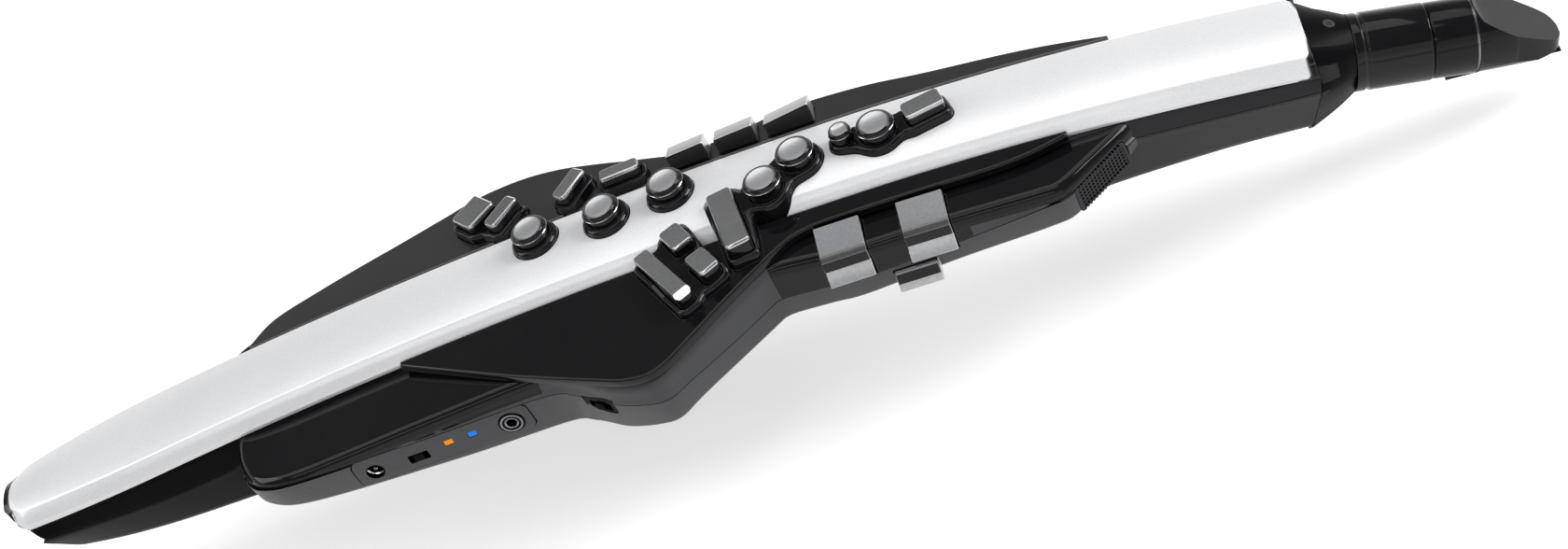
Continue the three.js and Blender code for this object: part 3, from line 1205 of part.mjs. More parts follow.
// The finished object stands over the origin, centred, with its lowest point at zero
const bounds = new THREE.Box3().setFromObject(object, true);
const middle = bounds.getCenter(new THREE.Vector3());
object.position.set(-middle.x, -middle.y, -bounds.min.z);
object.updateMatrixWorld(true);

export default object;
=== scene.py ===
import math

import bpy
import numpy as np
from mathutils import Matrix, Vector


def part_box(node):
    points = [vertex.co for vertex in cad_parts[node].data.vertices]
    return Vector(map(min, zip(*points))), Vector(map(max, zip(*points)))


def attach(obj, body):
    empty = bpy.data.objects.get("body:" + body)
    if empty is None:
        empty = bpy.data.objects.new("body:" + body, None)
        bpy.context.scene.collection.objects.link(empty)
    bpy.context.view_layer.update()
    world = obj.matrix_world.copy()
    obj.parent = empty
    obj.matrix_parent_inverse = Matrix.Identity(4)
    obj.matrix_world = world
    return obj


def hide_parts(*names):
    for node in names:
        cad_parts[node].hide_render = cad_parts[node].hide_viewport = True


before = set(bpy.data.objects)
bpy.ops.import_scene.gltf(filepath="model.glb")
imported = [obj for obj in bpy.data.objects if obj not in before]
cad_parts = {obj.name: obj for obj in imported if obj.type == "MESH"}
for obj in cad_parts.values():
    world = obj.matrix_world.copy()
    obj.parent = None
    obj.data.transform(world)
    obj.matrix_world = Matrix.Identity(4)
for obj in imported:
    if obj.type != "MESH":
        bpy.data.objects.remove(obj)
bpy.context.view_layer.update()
print("stage: frame loaded")

# Lengths are in mm from the bell rim, the centre plane and the crown; the circuit board, which starts at x 224 and
# lies 24 below the crown, shows where these sit in the frame
origin = {"boardX": 224, "boardZ": -24, "mm": 0.001}
gap = 0.3  # clearance between pieces
farOut = 120  # reach of cutting shapes that end outside the case
through = 6  # reach of cutting shapes past a wall on both sides
boardLow, boardHigh = (np.array(corner) / origin["mm"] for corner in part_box("main_board"))
shift = np.array([boardLow[0] - origin["boardX"], (boardLow[1] + boardHigh[1]) / 2,
                  (boardLow[2] + boardHigh[2]) / 2 - origin["boardZ"]])


def toFrame(points):
    return (np.asarray(points, float) + shift) * origin["mm"]


# Camera at the photograph's viewing angle
cameraView = {"x": 499.57, "y": -743.03, "z": 626.07, "tiltX": 44.640, "tiltY": 22.225, "tiltZ": -5.618,
              "focalPixels": 3139.0, "imageWidth": 1680.0, "sensor": 36.0}


def makeCamera():
    data = bpy.data.cameras.new("camera")
    data.sensor_width = cameraView["sensor"]
    data.lens = cameraView["focalPixels"] / cameraView["imageWidth"] * cameraView["sensor"]
    data.clip_start = 0.05
    camera = bpy.data.objects.new("camera", data)
    camera.location = toFrame([cameraView["x"], cameraView["y"], cameraView["z"]])
    camera.rotation_euler = [math.radians(cameraView[k]) for k in ("tiltX", "tiltY", "tiltZ")]
    bpy.context.collection.objects.link(camera)
    bpy.context.scene.camera = camera


# Curves and lines shared by the body pieces
arch = {"apexX": 262, "bellRadius": 1760, "neckRadius": 1560, "bendX": 340, "bendRadius": 2500}
body = {"neckX": 492, "depth": 52, "deckDrop": 8.3, "deckSlope": 0.061, "half": 20.4, "bellNarrowing": 5.4,
        "bellTaperX": 70, "flare": 2.6, "shoulder": 3, "tuckIn": 3, "tuckUp": 5, "rollIn": 7, "rollUp": 1.2,
        "backShare": 0.45, "deckCorner": 0.8, "rounding": 2.4}
backKnots = [(-0.02, 0.86), (0.03, 0.905), (0.08, 0.95), (0.15, 0.975), (0.25, 0.985), (0.5, 1), (0.82, 0.96),
             (0.92, 1), (1, 1.09), (1.05, 1.13)]
seamKnots = [(-0.02, 0.59), (0.04, 0.565), (0.185, 0.49), (0.215, 0.36), (0.3, 0.34), (0.42, 0.34), (0.52, 0.38),
             (0.6, 0.43), (0.74, 0.42), (0.82, 0.4), (0.87, 0.46), (1, 0.64), (1.05, 0.68)]
footKnots = [(0.18, 0.54), (0.3, 0.62), (0.43, 0.675), (0.54, 0.62), (0.62, 0.64), (0.73, 0.61), (0.83, 0.615),
             (0.88, 0.57)]


def lineThrough(knots):
    points = [(x * body["neckX"], -z * body["depth"]) for x, z in knots]

    def height(x):
        i = 0
        while i < len(points) - 2 and x > points[i + 1][0]:
            i += 1
        a, b, c = points[max(i - 1, 0)], points[i], points[i + 1]
        d = points[min(i + 2, len(points) - 1)]
        run = c[0] - b[0]
        t = min(max((x - b[0]) / run, 0), 1)
        slopeB = (c[1] - a[1]) / (c[0] - a[0]) * run
        slopeC = (d[1] - b[1]) / (d[0] - b[0]) * run
        return ((2 * t**3 - 3 * t**2 + 1) * b[1] + (t**3 - 2 * t**2 + t) * slopeB
                + (3 * t**2 - 2 * t**3) * c[1] + (t**3 - t**2) * slopeC)
    return height


backZ = lineThrough(backKnots)
seamZ = lineThrough(seamKnots)
footZ = lineThrough(footKnots)


def fromCrown(x):  # distance from the crown, the arch's radius there and the distance into the added bend
    reach = x - arch["apexX"]
    return reach, arch["bellRadius"] if reach < 0 else arch["neckRadius"], max(x - arch["bendX"], 0)


def frontZ(x):
    reach, radius, bend = fromCrown(x)
    return -reach * reach / (2 * radius) - bend * bend / (2 * arch["bendRadius"])


def frontTilt(x):
    reach, radius, bend = fromCrown(x)
    return math.atan(reach / radius + bend / arch["bendRadius"])


def deckZ(x, y):
    return frontZ(x) - body["deckDrop"] - body["deckSlope"] * max(abs(y) - body["half"], 0)


def bellShare(x):
    return max(1 - x / body["bellTaperX"], 0) ** 2


def onFace(x, y, turn=0.0):
    tilted = Matrix.Translation((x, y, frontZ(x))) @ Matrix.Rotation(frontTilt(x), 4, "Y")
    return tilted @ Matrix.Rotation(turn, 4, "Z")


def onBack(x, reach=6):  # the slope is taken between two points on the back
    slope = math.atan((backZ(x + reach) - backZ(x - reach)) / (2 * reach))
    return Matrix.Translation((x, 0, backZ(x))) @ Matrix.Rotation(math.pi - slope, 4, "Y")


def onWall(x, y, z, angle):
    turn = math.radians(angle)
    along, up = Vector((math.cos(turn), math.sin(turn), 0)), Vector((0, 0, 1))
    out = along.cross(up)
    return Matrix.Translation((x, y, z)) @ Matrix((along, up, out)).transposed().to_4x4()


def smoothLine(points, count, perSpan=40):  # evenly spaced points on a smooth curve through given points
    pts = np.asarray(points, float)
    dense = []
    for i in range(len(pts) - 1):
        a, b, c, d = pts[max(i - 1, 0)], pts[i], pts[i + 1], pts[min(i + 2, len(pts) - 1)]
        for t in np.linspace(0, 1, perSpan, endpoint=False):
            dense.append(b + 0.5 * t * (c - a) + t * t * (a - 2.5 * b + 2 * c - 0.5 * d)
                         + t**3 * (-0.5 * a + 1.5 * b - 1.5 * c + 0.5 * d))
    dense = np.vstack([dense, pts[-1]])
    run = np.concatenate([[0], np.cumsum(np.linalg.norm(np.diff(dense, axis=0), axis=1))])
    want = np.linspace(0, run[-1], count)
    return np.stack([np.interp(want, run, dense[:, k]) for k in range(dense.shape[1])], 1)


# Mesh building: everything is made in mm and stored in metres with its object at the origin
def makePiece(name, verts, faces, matrix=None, slots=None, angle=30):
    pts = np.asarray(verts, float)
    if matrix is not None:
        m = np.array(matrix)
        pts = pts @ m[:3, :3].T + m[:3, 3]
    mesh = bpy.data.meshes.new(name)
    mesh.from_pydata([tuple(p) for p in toFrame(pts)], [], faces)
    if slots is not None:
        mesh.polygons.foreach_set("material_index", slots)
    mesh.update()
    piece = bpy.data.objects.new(name, mesh)
    bpy.context.collection.objects.link(piece)
    turnOutward(mesh)
    smoothBy(mesh, angle)
    return piece


def turnOutward(mesh):
    mesh.calc_loop_triangles()
    co = np.empty(len(mesh.vertices) * 3)
    mesh.vertices.foreach_get("co", co)
    co = co.reshape(-1, 3)
    tris = np.empty(len(mesh.loop_triangles) * 3, int)
    mesh.loop_triangles.foreach_get("vertices", tris)
    a, b, c = (co[tris.reshape(-1, 3)[:, k]] for k in range(3))
    if (a * np.cross(b, c)).sum() < 0:
        mesh.flip_normals()


def smoothBy(mesh, angle):
    mesh.shade_smooth()
    mesh.set_sharp_from_angle(angle=math.radians(angle))


def ringStack(rings, cap=None):  # rings of points from one end to the other, both ends closed by the cap's faces
    rings = [np.asarray(r, float) for r in rings]
    n = len(rings[0])
    verts = np.vstack(rings)
    faces = []
    for i in range(len(rings) - 1):
        for j in range(n):
            k = (j + 1) % n
            faces.append((i * n + j, i * n + k, (i + 1) * n + k, (i + 1) * n + j))
    last = (len(rings) - 1) * n
    cap = cap or [tuple(range(n))]
    faces += [tuple(reversed(f)) for f in cap]
    faces += [tuple(last + j for j in f) for f in cap]
    return verts, faces


def mirrorRing(half):  # a half profile and its mirror image, joined on the centre plane
    half = np.asarray(half, float)
    other = half[1:-1][::-1] * [-1, 1]
    return np.vstack([half, other])


def mirrorCap(halfCount):  # faces that join each point of the half profile to its mirror image
    n = 2 * halfCount - 2
    cap = []
    for i in range(halfCount - 1):
        ring = [i, i + 1, n - i - 1, (n - i) % n]
        cap.append(tuple(dict.fromkeys(ring)))
    return cap


def loftAlong(stations, halfProfile):
    rings = []
    for x in stations:
        ring = mirrorRing(halfProfile(x))
        rings.append(np.column_stack([np.full(len(ring), x), ring]))
    return ringStack(rings, mirrorCap(len(halfProfile(stations[0]))))


def insetRing(ring, inset):  # the closed ring moved inwards
    ring = np.asarray(ring, float)
    nxt, prv = np.roll(ring, -1, 0), np.roll(ring, 1, 0)
    area = (ring[:, 0] * nxt[:, 1] - nxt[:, 0] * ring[:, 1]).sum()

    def inwardOf(d):
        v = np.column_stack([-d[:, 1], d[:, 0]])
        return v / np.maximum(np.linalg.norm(v, axis=1), 1e-9)[:, None]
    mean = inwardOf(ring - prv) + inwardOf(nxt - ring)
    mean /= np.maximum(np.linalg.norm(mean, axis=1), 1e-9)[:, None]
    return ring + mean * math.copysign(1, area) * np.asarray(inset).reshape(-1, 1)


def ladderCap(steps):  # faces from an outer line to the inner line that runs back beside it
    last = 2 * steps - 1
    return [(i, i + 1, last - i - 1, last - i) for i in range(steps - 1)]


def pillow(outer, inner, levels):  # levels: inset and height(x, y, isOuter) for every ring
    ring = np.vstack([outer, inner[::-1]])
    rings = []
    for inset, height in levels:
        flat = insetRing(ring, inset)
        z = [height(p[0], p[1], i < len(outer)) for i, p in enumerate(flat)]
        rings.append(np.column_stack([flat, z]))
    return ringStack(rings, ladderCap(len(outer)))


def innerLine(outer, y):
    return np.column_stack([np.linspace(outer[0][0], outer[-1][0], len(outer)), np.full(len(outer), y)])


def roundedRect(length, width, radius, steps=8):
    points = []
    for cx, cy, start in ((1, 1, 0), (-1, 1, 90), (-1, -1, 180), (1, -1, 270)):
        for a in np.linspace(start, start + 90, steps):
            points.append((cx * (length / 2 - radius) + radius * math.cos(math.radians(a)),
                           cy * (width / 2 - radius) + radius * math.sin(math.radians(a))))
    return np.array(points)


def blockOf(ring, levels):  # levels: inset and height
    rings = []
    for inset, z in levels:
        flat = insetRing(ring, inset)
        rings.append(np.column_stack([flat, np.full(len(flat), z)]))
    return ringStack(rings)


def turned(profile, sides=96):  # profile of radius and height, closed on the axis or on itself
    angles = np.linspace(0, 2 * math.pi, sides, endpoint=False)
    verts, faces, rows = [], [], []
    for r, z in profile:
        if abs(r) < 1e-6:
            rows.append([len(verts)] * sides)
            verts.append((0, 0, z))
        else:
            rows.append(list(range(len(verts), len(verts) + sides)))
            verts += [(r * math.cos(a), r * math.sin(a), z) for a in angles]
    pairs = list(zip(rows[:-1], rows[1:]))
    if abs(profile[0][0]) > 1e-6:
        pairs.append((rows[-1], rows[0]))
    for low, high in pairs:
        for j in range(sides):
            k = (j + 1) % sides
            face = tuple(dict.fromkeys((low[j], low[k], high[k], high[j])))
            if len(face) > 2:
                faces.append(face)
    return verts, faces


def rounded(profile, radius, steps=5):  # the same profile with its corners between the ends rounded
    pts = [np.array(p, float) for p in profile]
    out = [pts[0]]
    for a, b, c in zip(pts[:-2], pts[1:-1], pts[2:]):
        reach = min(radius, np.linalg.norm(a - b) * 0.45, np.linalg.norm(c - b) * 0.45)
        start = b + (a - b) / max(np.linalg.norm(a - b), 1e-9) * reach
        end = b + (c - b) / max(np.linalg.norm(c - b), 1e-9) * reach
        out += [(1 - t)**2 * start + 2 * t * (1 - t) * b + t * t * end for t in np.linspace(0, 1, steps)]
    return np.array(out + [pts[-1]])


def roundedLoop(points, radius, steps=5):
    pts = [np.array(p, float) for p in points]
    return rounded([pts[-1]] + pts + [pts[0]], radius, steps)[1:-1]


def slabOf(ring, low=-through, high=through):
    return blockOf(ring, [(0, low), (0, high)])


def drumOf(radius, low=-through, high=through, sides=96):
    return turned([(0, low), (radius, low), (radius, high), (0, high)], sides)


def sidePrism(outline, width):  # outline of x and z, as wide as asked across the body
    ring = np.asarray(outline, float)
    near = np.column_stack([ring[:, 0], np.full(len(ring), -width / 2), ring[:, 1]])
    return ringStack([near, near + [0, width, 0]])


def endPrism(outline, length):  # outline of y and z, as long as asked along the body
    ring = np.asarray(outline, float)
    low = np.column_stack([np.full(len(ring), -length / 2), ring[:, 0], ring[:, 1]])
    return ringStack([low, low + [length, 0, 0]])


def boolean(piece, tools, operation="DIFFERENCE"):  # the tools are used up
    for tool in tools:
        mod = piece.modifiers.new("cut", "BOOLEAN")
        mod.operation = operation
        mod.solver = "MANIFOLD"
        mod.object = tool
    depsgraph = bpy.context.evaluated_depsgraph_get()
    result = bpy.data.meshes.new_from_object(piece.evaluated_get(depsgraph))
    piece.modifiers.clear()
    old = piece.data
    piece.data = result
    bpy.data.meshes.remove(old)
    for tool in tools:
        bpy.data.objects.remove(tool)
    return piece


# Node trees, for shaders and for geometry
def newTree(kind, name, inputs, outputs):  # inputs: label, type and value; outputs: label and type
    tree = bpy.data.node_groups.new(name, kind)
    for label, socketType, value in inputs:
        socket = tree.interface.new_socket(label, in_out="INPUT", socket_type="NodeSocket" + socketType)
        if value is not None:
            socket.default_value = value
    for label, socketType in outputs:
        tree.interface.new_socket(label, in_out="OUTPUT", socket_type="NodeSocket" + socketType)
    return tree, tree.nodes.new("NodeGroupInput").outputs, tree.nodes.new("NodeGroupOutput").inputs


def treeNode(tree, kind, settings=None, **inputs):  # an input is named by its label, or by n and its number
    node = tree.nodes.new(kind)
    for key, value in (settings or {}).items():
        setattr(node, key, value)
    for key, value in inputs.items():
        socket = node.inputs[int(key[1:]) if key[0] == "n" and key[1:].isdigit() else key.replace("_", " ")]
        if isinstance(value, bpy.types.NodeSocket):
            tree.links.new(value, socket)
        else:
            socket.default_value = value
    return node


def addNode(tree, kind, settings=None, **inputs):
    return treeNode(tree, "ShaderNode" + kind, settings, **inputs)


def sums(tree, operation, a, b=0.5, clamp=False):
    return addNode(tree, "Math", {"operation": operation, "use_clamp": clamp}, n0=a, n1=b).outputs[0]


def mixed(tree, share, a, b, blend="MIX"):  # two colours, mixed
    return addNode(tree, "Mix", {"data_type": "RGBA", "blend_type": blend}, n0=share, n6=a, n7=b).outputs[2]


def onObject(tree):
    return addNode(tree, "TexCoord").outputs["Object"]


# Shared effects: each is a node group with its own inputs, placed in every finish that uses it
def newGroup(name, inputs, outputs):
    return newTree("ShaderNodeTree", name, [(label, "Float", value) for label, value in inputs],
                   [(label, "Float") for label in outputs])


def mouldGrain():  # spark-eroded texture: fine bumps with the odd deeper pit
    group, given, result = newGroup("mouldGrain", [("Scale", 1800), ("Pits", 0.4)], ["Height", "Speck"])
    spot = onObject(group)
    fine = addNode(group, "TexNoise", Vector=spot, Scale=given["Scale"], Detail=2.0, Roughness=0.6).outputs[0]
    pits = addNode(group, "TexVoronoi", {"feature": "SMOOTH_F1"}, Vector=spot,
                   Scale=sums(group, "MULTIPLY", given["Scale"], 0.6))
    deep = sums(group, "MULTIPLY", pits.outputs["Distance"], given["Pits"])
    group.links.new(sums(group, "ADD", fine, deep), result["Height"])
    group.links.new(sums(group, "SUBTRACT", fine, deep, True), result["Speck"])
    return group


def handling():  # broad uneven tone, and fine smears from fingers and cloth
    group, given, result = newGroup("handling", [("Scale", 22), ("Smear Scale", 260)], ["Tone", "Smear"])
    spot = onObject(group)
    broad = addNode(group, "TexNoise", Vector=spot, Scale=given["Scale"], Detail=3.0, Roughness=0.55)
    streaks = addNode(group, "Mapping", Vector=spot, Scale=(0.35, 1.0, 1.0), Rotation=(0.0, 0.0, 0.5))
    fine = addNode(group, "TexNoise", Vector=streaks.outputs[0], Scale=given["Smear Scale"], Detail=5.0,
                   Roughness=0.7, Distortion=0.8)
    tone = addNode(group, "MapRange", n0=broad.outputs[0], n1=0.3, n2=0.7, n3=0.0, n4=1.0).outputs[0]
    smear = addNode(group, "MapRange", n0=fine.outputs[0], n1=0.45, n2=0.75, n3=0.0, n4=1.0).outputs[0]
    group.links.new(tone, result["Tone"])
    group.links.new(sums(group, "MULTIPLY", smear, tone), result["Smear"])
    return group


def edgeWearAndHighlight():  # worn edges plus a painted highlight along them: lighter edges, broken up so that they don't look drawn
    group, given, result = newGroup("edgeWearAndHighlight", [("Radius", 0.0005), ("Scale", 180)], ["Edge"])
    soft = addNode(group, "Bevel", {"samples": 4}, Radius=given["Radius"])
    flat = addNode(group, "NewGeometry")
    turn = addNode(group, "VectorMath", {"operation": "DOT_PRODUCT"}, n0=soft.outputs[0], n1=flat.outputs["Normal"])
    bent = sums(group, "MULTIPLY", sums(group, "SUBTRACT", 1.0, turn.outputs["Value"]), 5.0, True)
    patchy = addNode(group, "TexNoise", Vector=onObject(group), Scale=given["Scale"], Detail=3.0)
    group.links.new(sums(group, "MULTIPLY", bent, patchy.outputs[0], True), result["Edge"])
    return group


effects = {"grain": mouldGrain(), "handling": handling(), "edge": edgeWearAndHighlight()}

# Finishes: colour and its darker tone, roughness and how far it wanders, grain size per metre and depth in metres
# the edge colour lays worn edges and a painted edge highlight on every finish, by the share that follows it
finishValues = {
    "glossCase": {"color": (0.007, 0.007, 0.008), "tone": (0.004, 0.004, 0.005), "rough": (0.06, 0.13),
                  "grain": (900, 0.000002), "edge": (0.16, 0.16, 0.17), "wearAndHighlight": 0.8, "specular": 0.24},
    "deepGloss": {"color": (0.009, 0.009, 0.01), "tone": (0.006, 0.006, 0.007), "rough": (0.26, 0.38),
                  "grain": (900, 0.000002), "edge": (0.05, 0.05, 0.055), "wearAndHighlight": 0.5, "specular": 1.0},
    "grainCase": {"color": (0.042, 0.043, 0.047), "tone": (0.03, 0.031, 0.034), "rough": (0.4, 0.54),
                  "grain": (1500, 0.00006), "edge": (0.09, 0.09, 0.1), "wearAndHighlight": 0.5, "specular": 0.45},
    "satinCase": {"color": (0.005, 0.005, 0.0058), "tone": (0.003, 0.003, 0.0037), "rough": (0.28, 0.42),
                  "grain": (1900, 0.00002), "edge": (0.018, 0.018, 0.021), "wearAndHighlight": 0.4, "specular": 0.04},
    "grilleCase": {"color": (0.022, 0.0225, 0.025), "tone": (0.016, 0.0165, 0.018), "rough": (0.4, 0.54),
                   "grain": (1500, 0.00005), "edge": (0.05, 0.05, 0.056), "wearAndHighlight": 0.4, "specular": 0.2},
    "silverPanel": {"color": (0.87, 0.875, 0.89), "tone": (0.83, 0.835, 0.855), "metallic": 0.25,
                    "rough": (0.28, 0.3), "grain": (3200, 0.000006), "edge": (0.9, 0.9, 0.92), "wearAndHighlight": 0.3},
    "keyCap": {"color": (0.66, 0.665, 0.675), "tone": (0.58, 0.585, 0.595), "metallic": 0.85, "rough": (0.3, 0.38),
               "grain": (2600, 0.00001), "edge": (0.6, 0.61, 0.63), "wearAndHighlight": 0.5},
    "chrome": {"color": (0.7, 0.71, 0.73), "tone": (0.62, 0.63, 0.65), "metallic": 1.0, "rough": (0.07, 0.16),
               "grain": (700, 0.000002), "edge": (0.85, 0.85, 0.87), "wearAndHighlight": 0.4},
    "smokedMetal": {"color": (0.56, 0.565, 0.575), "tone": (0.48, 0.485, 0.495), "metallic": 0.95,
                    "rough": (0.18, 0.24), "grain": (1400, 0.000003), "edge": (0.75, 0.76, 0.78), "wearAndHighlight": 0.8},
    "sideMetal": {"color": (0.2, 0.202, 0.21), "tone": (0.17, 0.172, 0.18), "metallic": 0.95,
                  "rough": (0.2, 0.25), "grain": (1400, 0.000003), "edge": (0.5, 0.51, 0.53), "wearAndHighlight": 0.7},
    # lighter copy of sideMetal for the side keys' lips: real polish, with a painted highlight in its lighter colour
    "sideLipHighlight": {"color": (0.42, 0.425, 0.435), "tone": (0.37, 0.375, 0.385), "metallic": 1.0, "rough": (0.14, 0.2),
                "grain": (900, 0.000002), "edge": (0.7, 0.71, 0.73), "wearAndHighlight": 0.6},
    "resin": {"color": (0.006, 0.006, 0.007), "tone": (0.004, 0.004, 0.005), "rough": (0.1, 0.2),
              "grain": (800, 0.000002), "edge": (0.03, 0.03, 0.033), "wearAndHighlight": 0.4, "specular": 0.2},
    "rubber": {"color": (0.016, 0.016, 0.017), "tone": (0.009, 0.009, 0.01), "rough": (0.7, 0.85),
               "grain": (2200, 0.00005), "edge": (0.03, 0.03, 0.03), "wearAndHighlight": 0.4},
    "glass": {"color": (0.004, 0.005, 0.006), "tone": (0.003, 0.0035, 0.0045), "rough": (0.04, 0.09),
              "grain": (300, 0.0000005), "edge": (0.03, 0.035, 0.04), "wearAndHighlight": 0.4},
    "amber": {"color": (0.92, 0.3, 0.0), "tone": (0.85, 0.24, 0.0), "rough": (0.3, 0.4), "grain": (1600, 0.00001),
              "edge": (1.0, 0.5, 0.02), "wearAndHighlight": 0.4, "glow": 0.4, "specular": 0.2},
    "blue": {"color": (0.02, 0.2, 0.8), "tone": (0.015, 0.15, 0.65), "rough": (0.3, 0.4), "grain": (1600, 0.00001),
             "edge": (0.1, 0.4, 1.0), "wearAndHighlight": 0.4, "glow": 0.4, "specular": 0.2},
    "board": {"color": (0.02, 0.13, 0.06), "tone": (0.014, 0.09, 0.045), "rough": (0.3, 0.45),
              "grain": (1200, 0.00001), "edge": (0.3, 0.28, 0.12), "wearAndHighlight": 0.6},
    "cell": {"color": (0.62, 0.63, 0.65), "tone": (0.52, 0.53, 0.55), "metallic": 0.8, "rough": (0.25, 0.38),
             "grain": (900, 0.000004), "edge": (0.8, 0.8, 0.8), "wearAndHighlight": 0.4},
}
finishShares = {"speck": 0.25, "tone": 0.4}  # how strongly specks darken and uneven tone roughens every finish
finishes = {}


def makeFinish(name):
    v = finishValues[name]
    material = bpy.data.materials.new(name)
    material.use_nodes = True
    tree = material.node_tree
    shader = tree.nodes["Principled BSDF"]

    def effect(key, **inputs):
        node = addNode(tree, "Group", {"node_tree": effects[key]})
        for label, value in inputs.items():
            node.inputs[label.replace("_", " ")].default_value = value
        return node
    marks = effect("handling")
    grain = effect("grain", Scale=v["grain"][0])
    wornAndLitEdges = effect("edge")
    base = mixed(tree, marks.outputs["Tone"], (*v["tone"], 1), (*v["color"], 1))
    if name in coatings:
        base = coatings[name](tree, base)
    speck = addNode(tree, "ValToRGB", n0=grain.outputs["Speck"]).outputs[0]
    base = mixed(tree, finishShares["speck"], base, speck, "MULTIPLY")
    # edges blended towards the edge colour: part wear, part painted highlight
    edge = mixed(tree, sums(tree, "MULTIPLY", wornAndLitEdges.outputs["Edge"], v["wearAndHighlight"]), base, (*v["edge"], 1))
    tree.links.new(edge, shader.inputs["Base Color"])
    uneven = sums(tree, "MULTIPLY", marks.outputs["Tone"], finishShares["tone"])
    rubbed = sums(tree, "MAXIMUM", marks.outputs["Smear"], uneven)
    rough = addNode(tree, "MapRange", n0=rubbed, n1=0.0, n2=1.0, n3=v["rough"][0], n4=v["rough"][1])
    tree.links.new(rough.outputs[0], shader.inputs["Roughness"])
    bump = addNode(tree, "Bump", Strength=1.0, Distance=v["grain"][1], Height=grain.outputs["Height"])
    tree.links.new(bump.outputs[0], shader.inputs["Normal"])
    shader.inputs["Metallic"].default_value = v.get("metallic", 0.0)
    shader.inputs["Specular IOR Level"].default_value = v.get("specular", 0.5)
    if "glow" in v:
        tree.links.new(edge, shader.inputs["Emission Color"])
        shader.inputs["Emission Strength"].default_value = v["glow"]
    finishes[name] = material


sleeve = {"startX": 67.5, "pitch": 0.051, "share": (0.05, 0.93), "bandFrom": 0.7, "color": (0.03, 0.06, 0.1, 1),
          "bandColor": (0.5, 0.36, 0.1, 1)}
board = {"trackScale": 160.0, "trackWidth": 0.06, "trackShare": 0.5, "trackColor": (0.06, 0.3, 0.12, 1),
         "padScale": 330.0, "padRadius": 0.2, "padColor": (0.6, 0.58, 0.5, 1)}


def cellSleeve(tree, base):  # printed sleeve with a bare steel band at both ends of every cell
    where = addNode(tree, "SeparateXYZ", n0=onObject(tree)).outputs["X"]
    start = float(toFrame([sleeve["startX"], 0, 0])[0])
    along = sums(tree, "FRACT", sums(tree, "DIVIDE", sums(tree, "SUBTRACT", where, start), sleeve["pitch"]))
    low, high = sleeve["share"]
    inside = sums(tree, "MULTIPLY", sums(tree, "GREATER_THAN", along, low), sums(tree, "LESS_THAN", along, high))
    band = sums(tree, "MULTIPLY", sums(tree, "GREATER_THAN", along, sleeve["bandFrom"]), inside)
    return mixed(tree, inside, base, mixed(tree, band, sleeve["color"], sleeve["bandColor"]))


def copperTracks(tree, base):  # tracks and pads under the solder mask
    spot = onObject(tree)
    bricks = addNode(tree, "TexBrick", {"offset": 0.37, "squash_frequency": 3}, Vector=spot,
                     Scale=board["trackScale"], Color1=(0, 0, 0, 1), Color2=(0.25, 0.25, 0.25, 1),
                     Mortar=(1, 1, 1, 1), Mortar_Size=board["trackWidth"])
    dots = addNode(tree, "TexVoronoi", Vector=spot, Scale=board["padScale"])
    pads = sums(tree, "LESS_THAN", dots.outputs["Distance"], board["padRadius"])
    tracks = sums(tree, "MULTIPLY", bricks.outputs[0], board["trackShare"])
    return mixed(tree, pads, mixed(tree, tracks, base, board["trackColor"]), board["padColor"])


coatings = {"cell": cellSleeve, "board": copperTracks}
for finishName in finishValues:
    makeFinish(finishName)
caseFinishes = ["glossCase", "grainCase", "satinCase", "chrome", "keyCap", "resin", "smokedMetal", "deepGloss",
                "sideMetal", "sideLipHighlight", "grilleCase"]


def solid(name, shape, matrix=None, finish="glossCase", angle=30):
    verts, faces = shape[:2]
    piece = makePiece(name, verts, faces, matrix, None, angle)
    for key in caseFinishes:
        piece.data.materials.append(finishes[key])
    if isinstance(finish, str):
        finish = [caseFinishes.index(finish)] * len(faces)
    piece.data.polygons.foreach_set("material_index", finish)
    return piece


def finished(piece, bodyName, nodes, slotName, finish=None, angle=30):
    if finish:
        piece.data.materials.clear()
        piece.data.materials.append(finishes[finish])
        piece.data.polygons.foreach_set("material_index", [0] * len(piece.data.polygons))
    smoothBy(piece.data, angle)
    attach(piece, bodyName)
    if nodes:
        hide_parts(*nodes)
    return piece


# Silver front panel
panel = {"half": 19.6, "startX": 2, "endX": 492, "bellNarrowing": 5.4, "thickness": 2, "creaseIn": 4.2,
         "creaseDrop": 1.7, "edgeDrop": 6.8, "foot": 8, "cornerIn": 4, "cornerLength": 7, "endRound": 4.5,
         "bellLift": 1.6, "liftLength": 40, "stations": 170, "crownPoints": 14, "rounding": 0.8, "past": 4,
         "flank": [(2.3, 1.9, 0.3), (0.8, 3.9, 0.7)]}  # flank points: inset, drop below the crease, share of the lift


def panelHalf(x):
    corner = max(1 - max(x - panel["startX"], 0) / panel["cornerLength"], 0)
    past = min(max(x - panel["endX"] + panel["endRound"], 0), panel["endRound"])
    turn = panel["endRound"] - math.sqrt(panel["endRound"]**2 - past**2)
    return panel["half"] - panel["bellNarrowing"] * bellShare(x) - panel["cornerIn"] * corner**1.5 - turn


def panelLine(x, grow=0.0):  # half profile from the crown to the foot, closed at the centre
    half = panelHalf(x) + grow
    z = frontZ(x) + grow
    crease = half - panel["creaseIn"]
    crown = [(y, -panel["creaseDrop"] * (y / crease)**2) for y in np.linspace(0, crease, panel["crownPoints"])]
    lift = panel["bellLift"] * max(1 - max(x - panel["startX"], 0) / panel["liftLength"], 0)
    flank = [(half - inset, -panel["creaseDrop"] - drop + lift * share) for inset, drop, share in panel["flank"]]
    edge = [(half, -panel["edgeDrop"] + lift), (half, -panel["foot"])]
    outside = rounded(crown + flank + edge, panel["rounding"], 4)
    return [(y, z + d) for y, d in outside] + [(0, z - panel["foot"])]


def neckStations():  # close stations round the panel's neck end
    return [panel["endX"] - panel["endRound"] * (1 - math.sin(t)) for t in np.linspace(0.1, math.pi / 2, 9)]


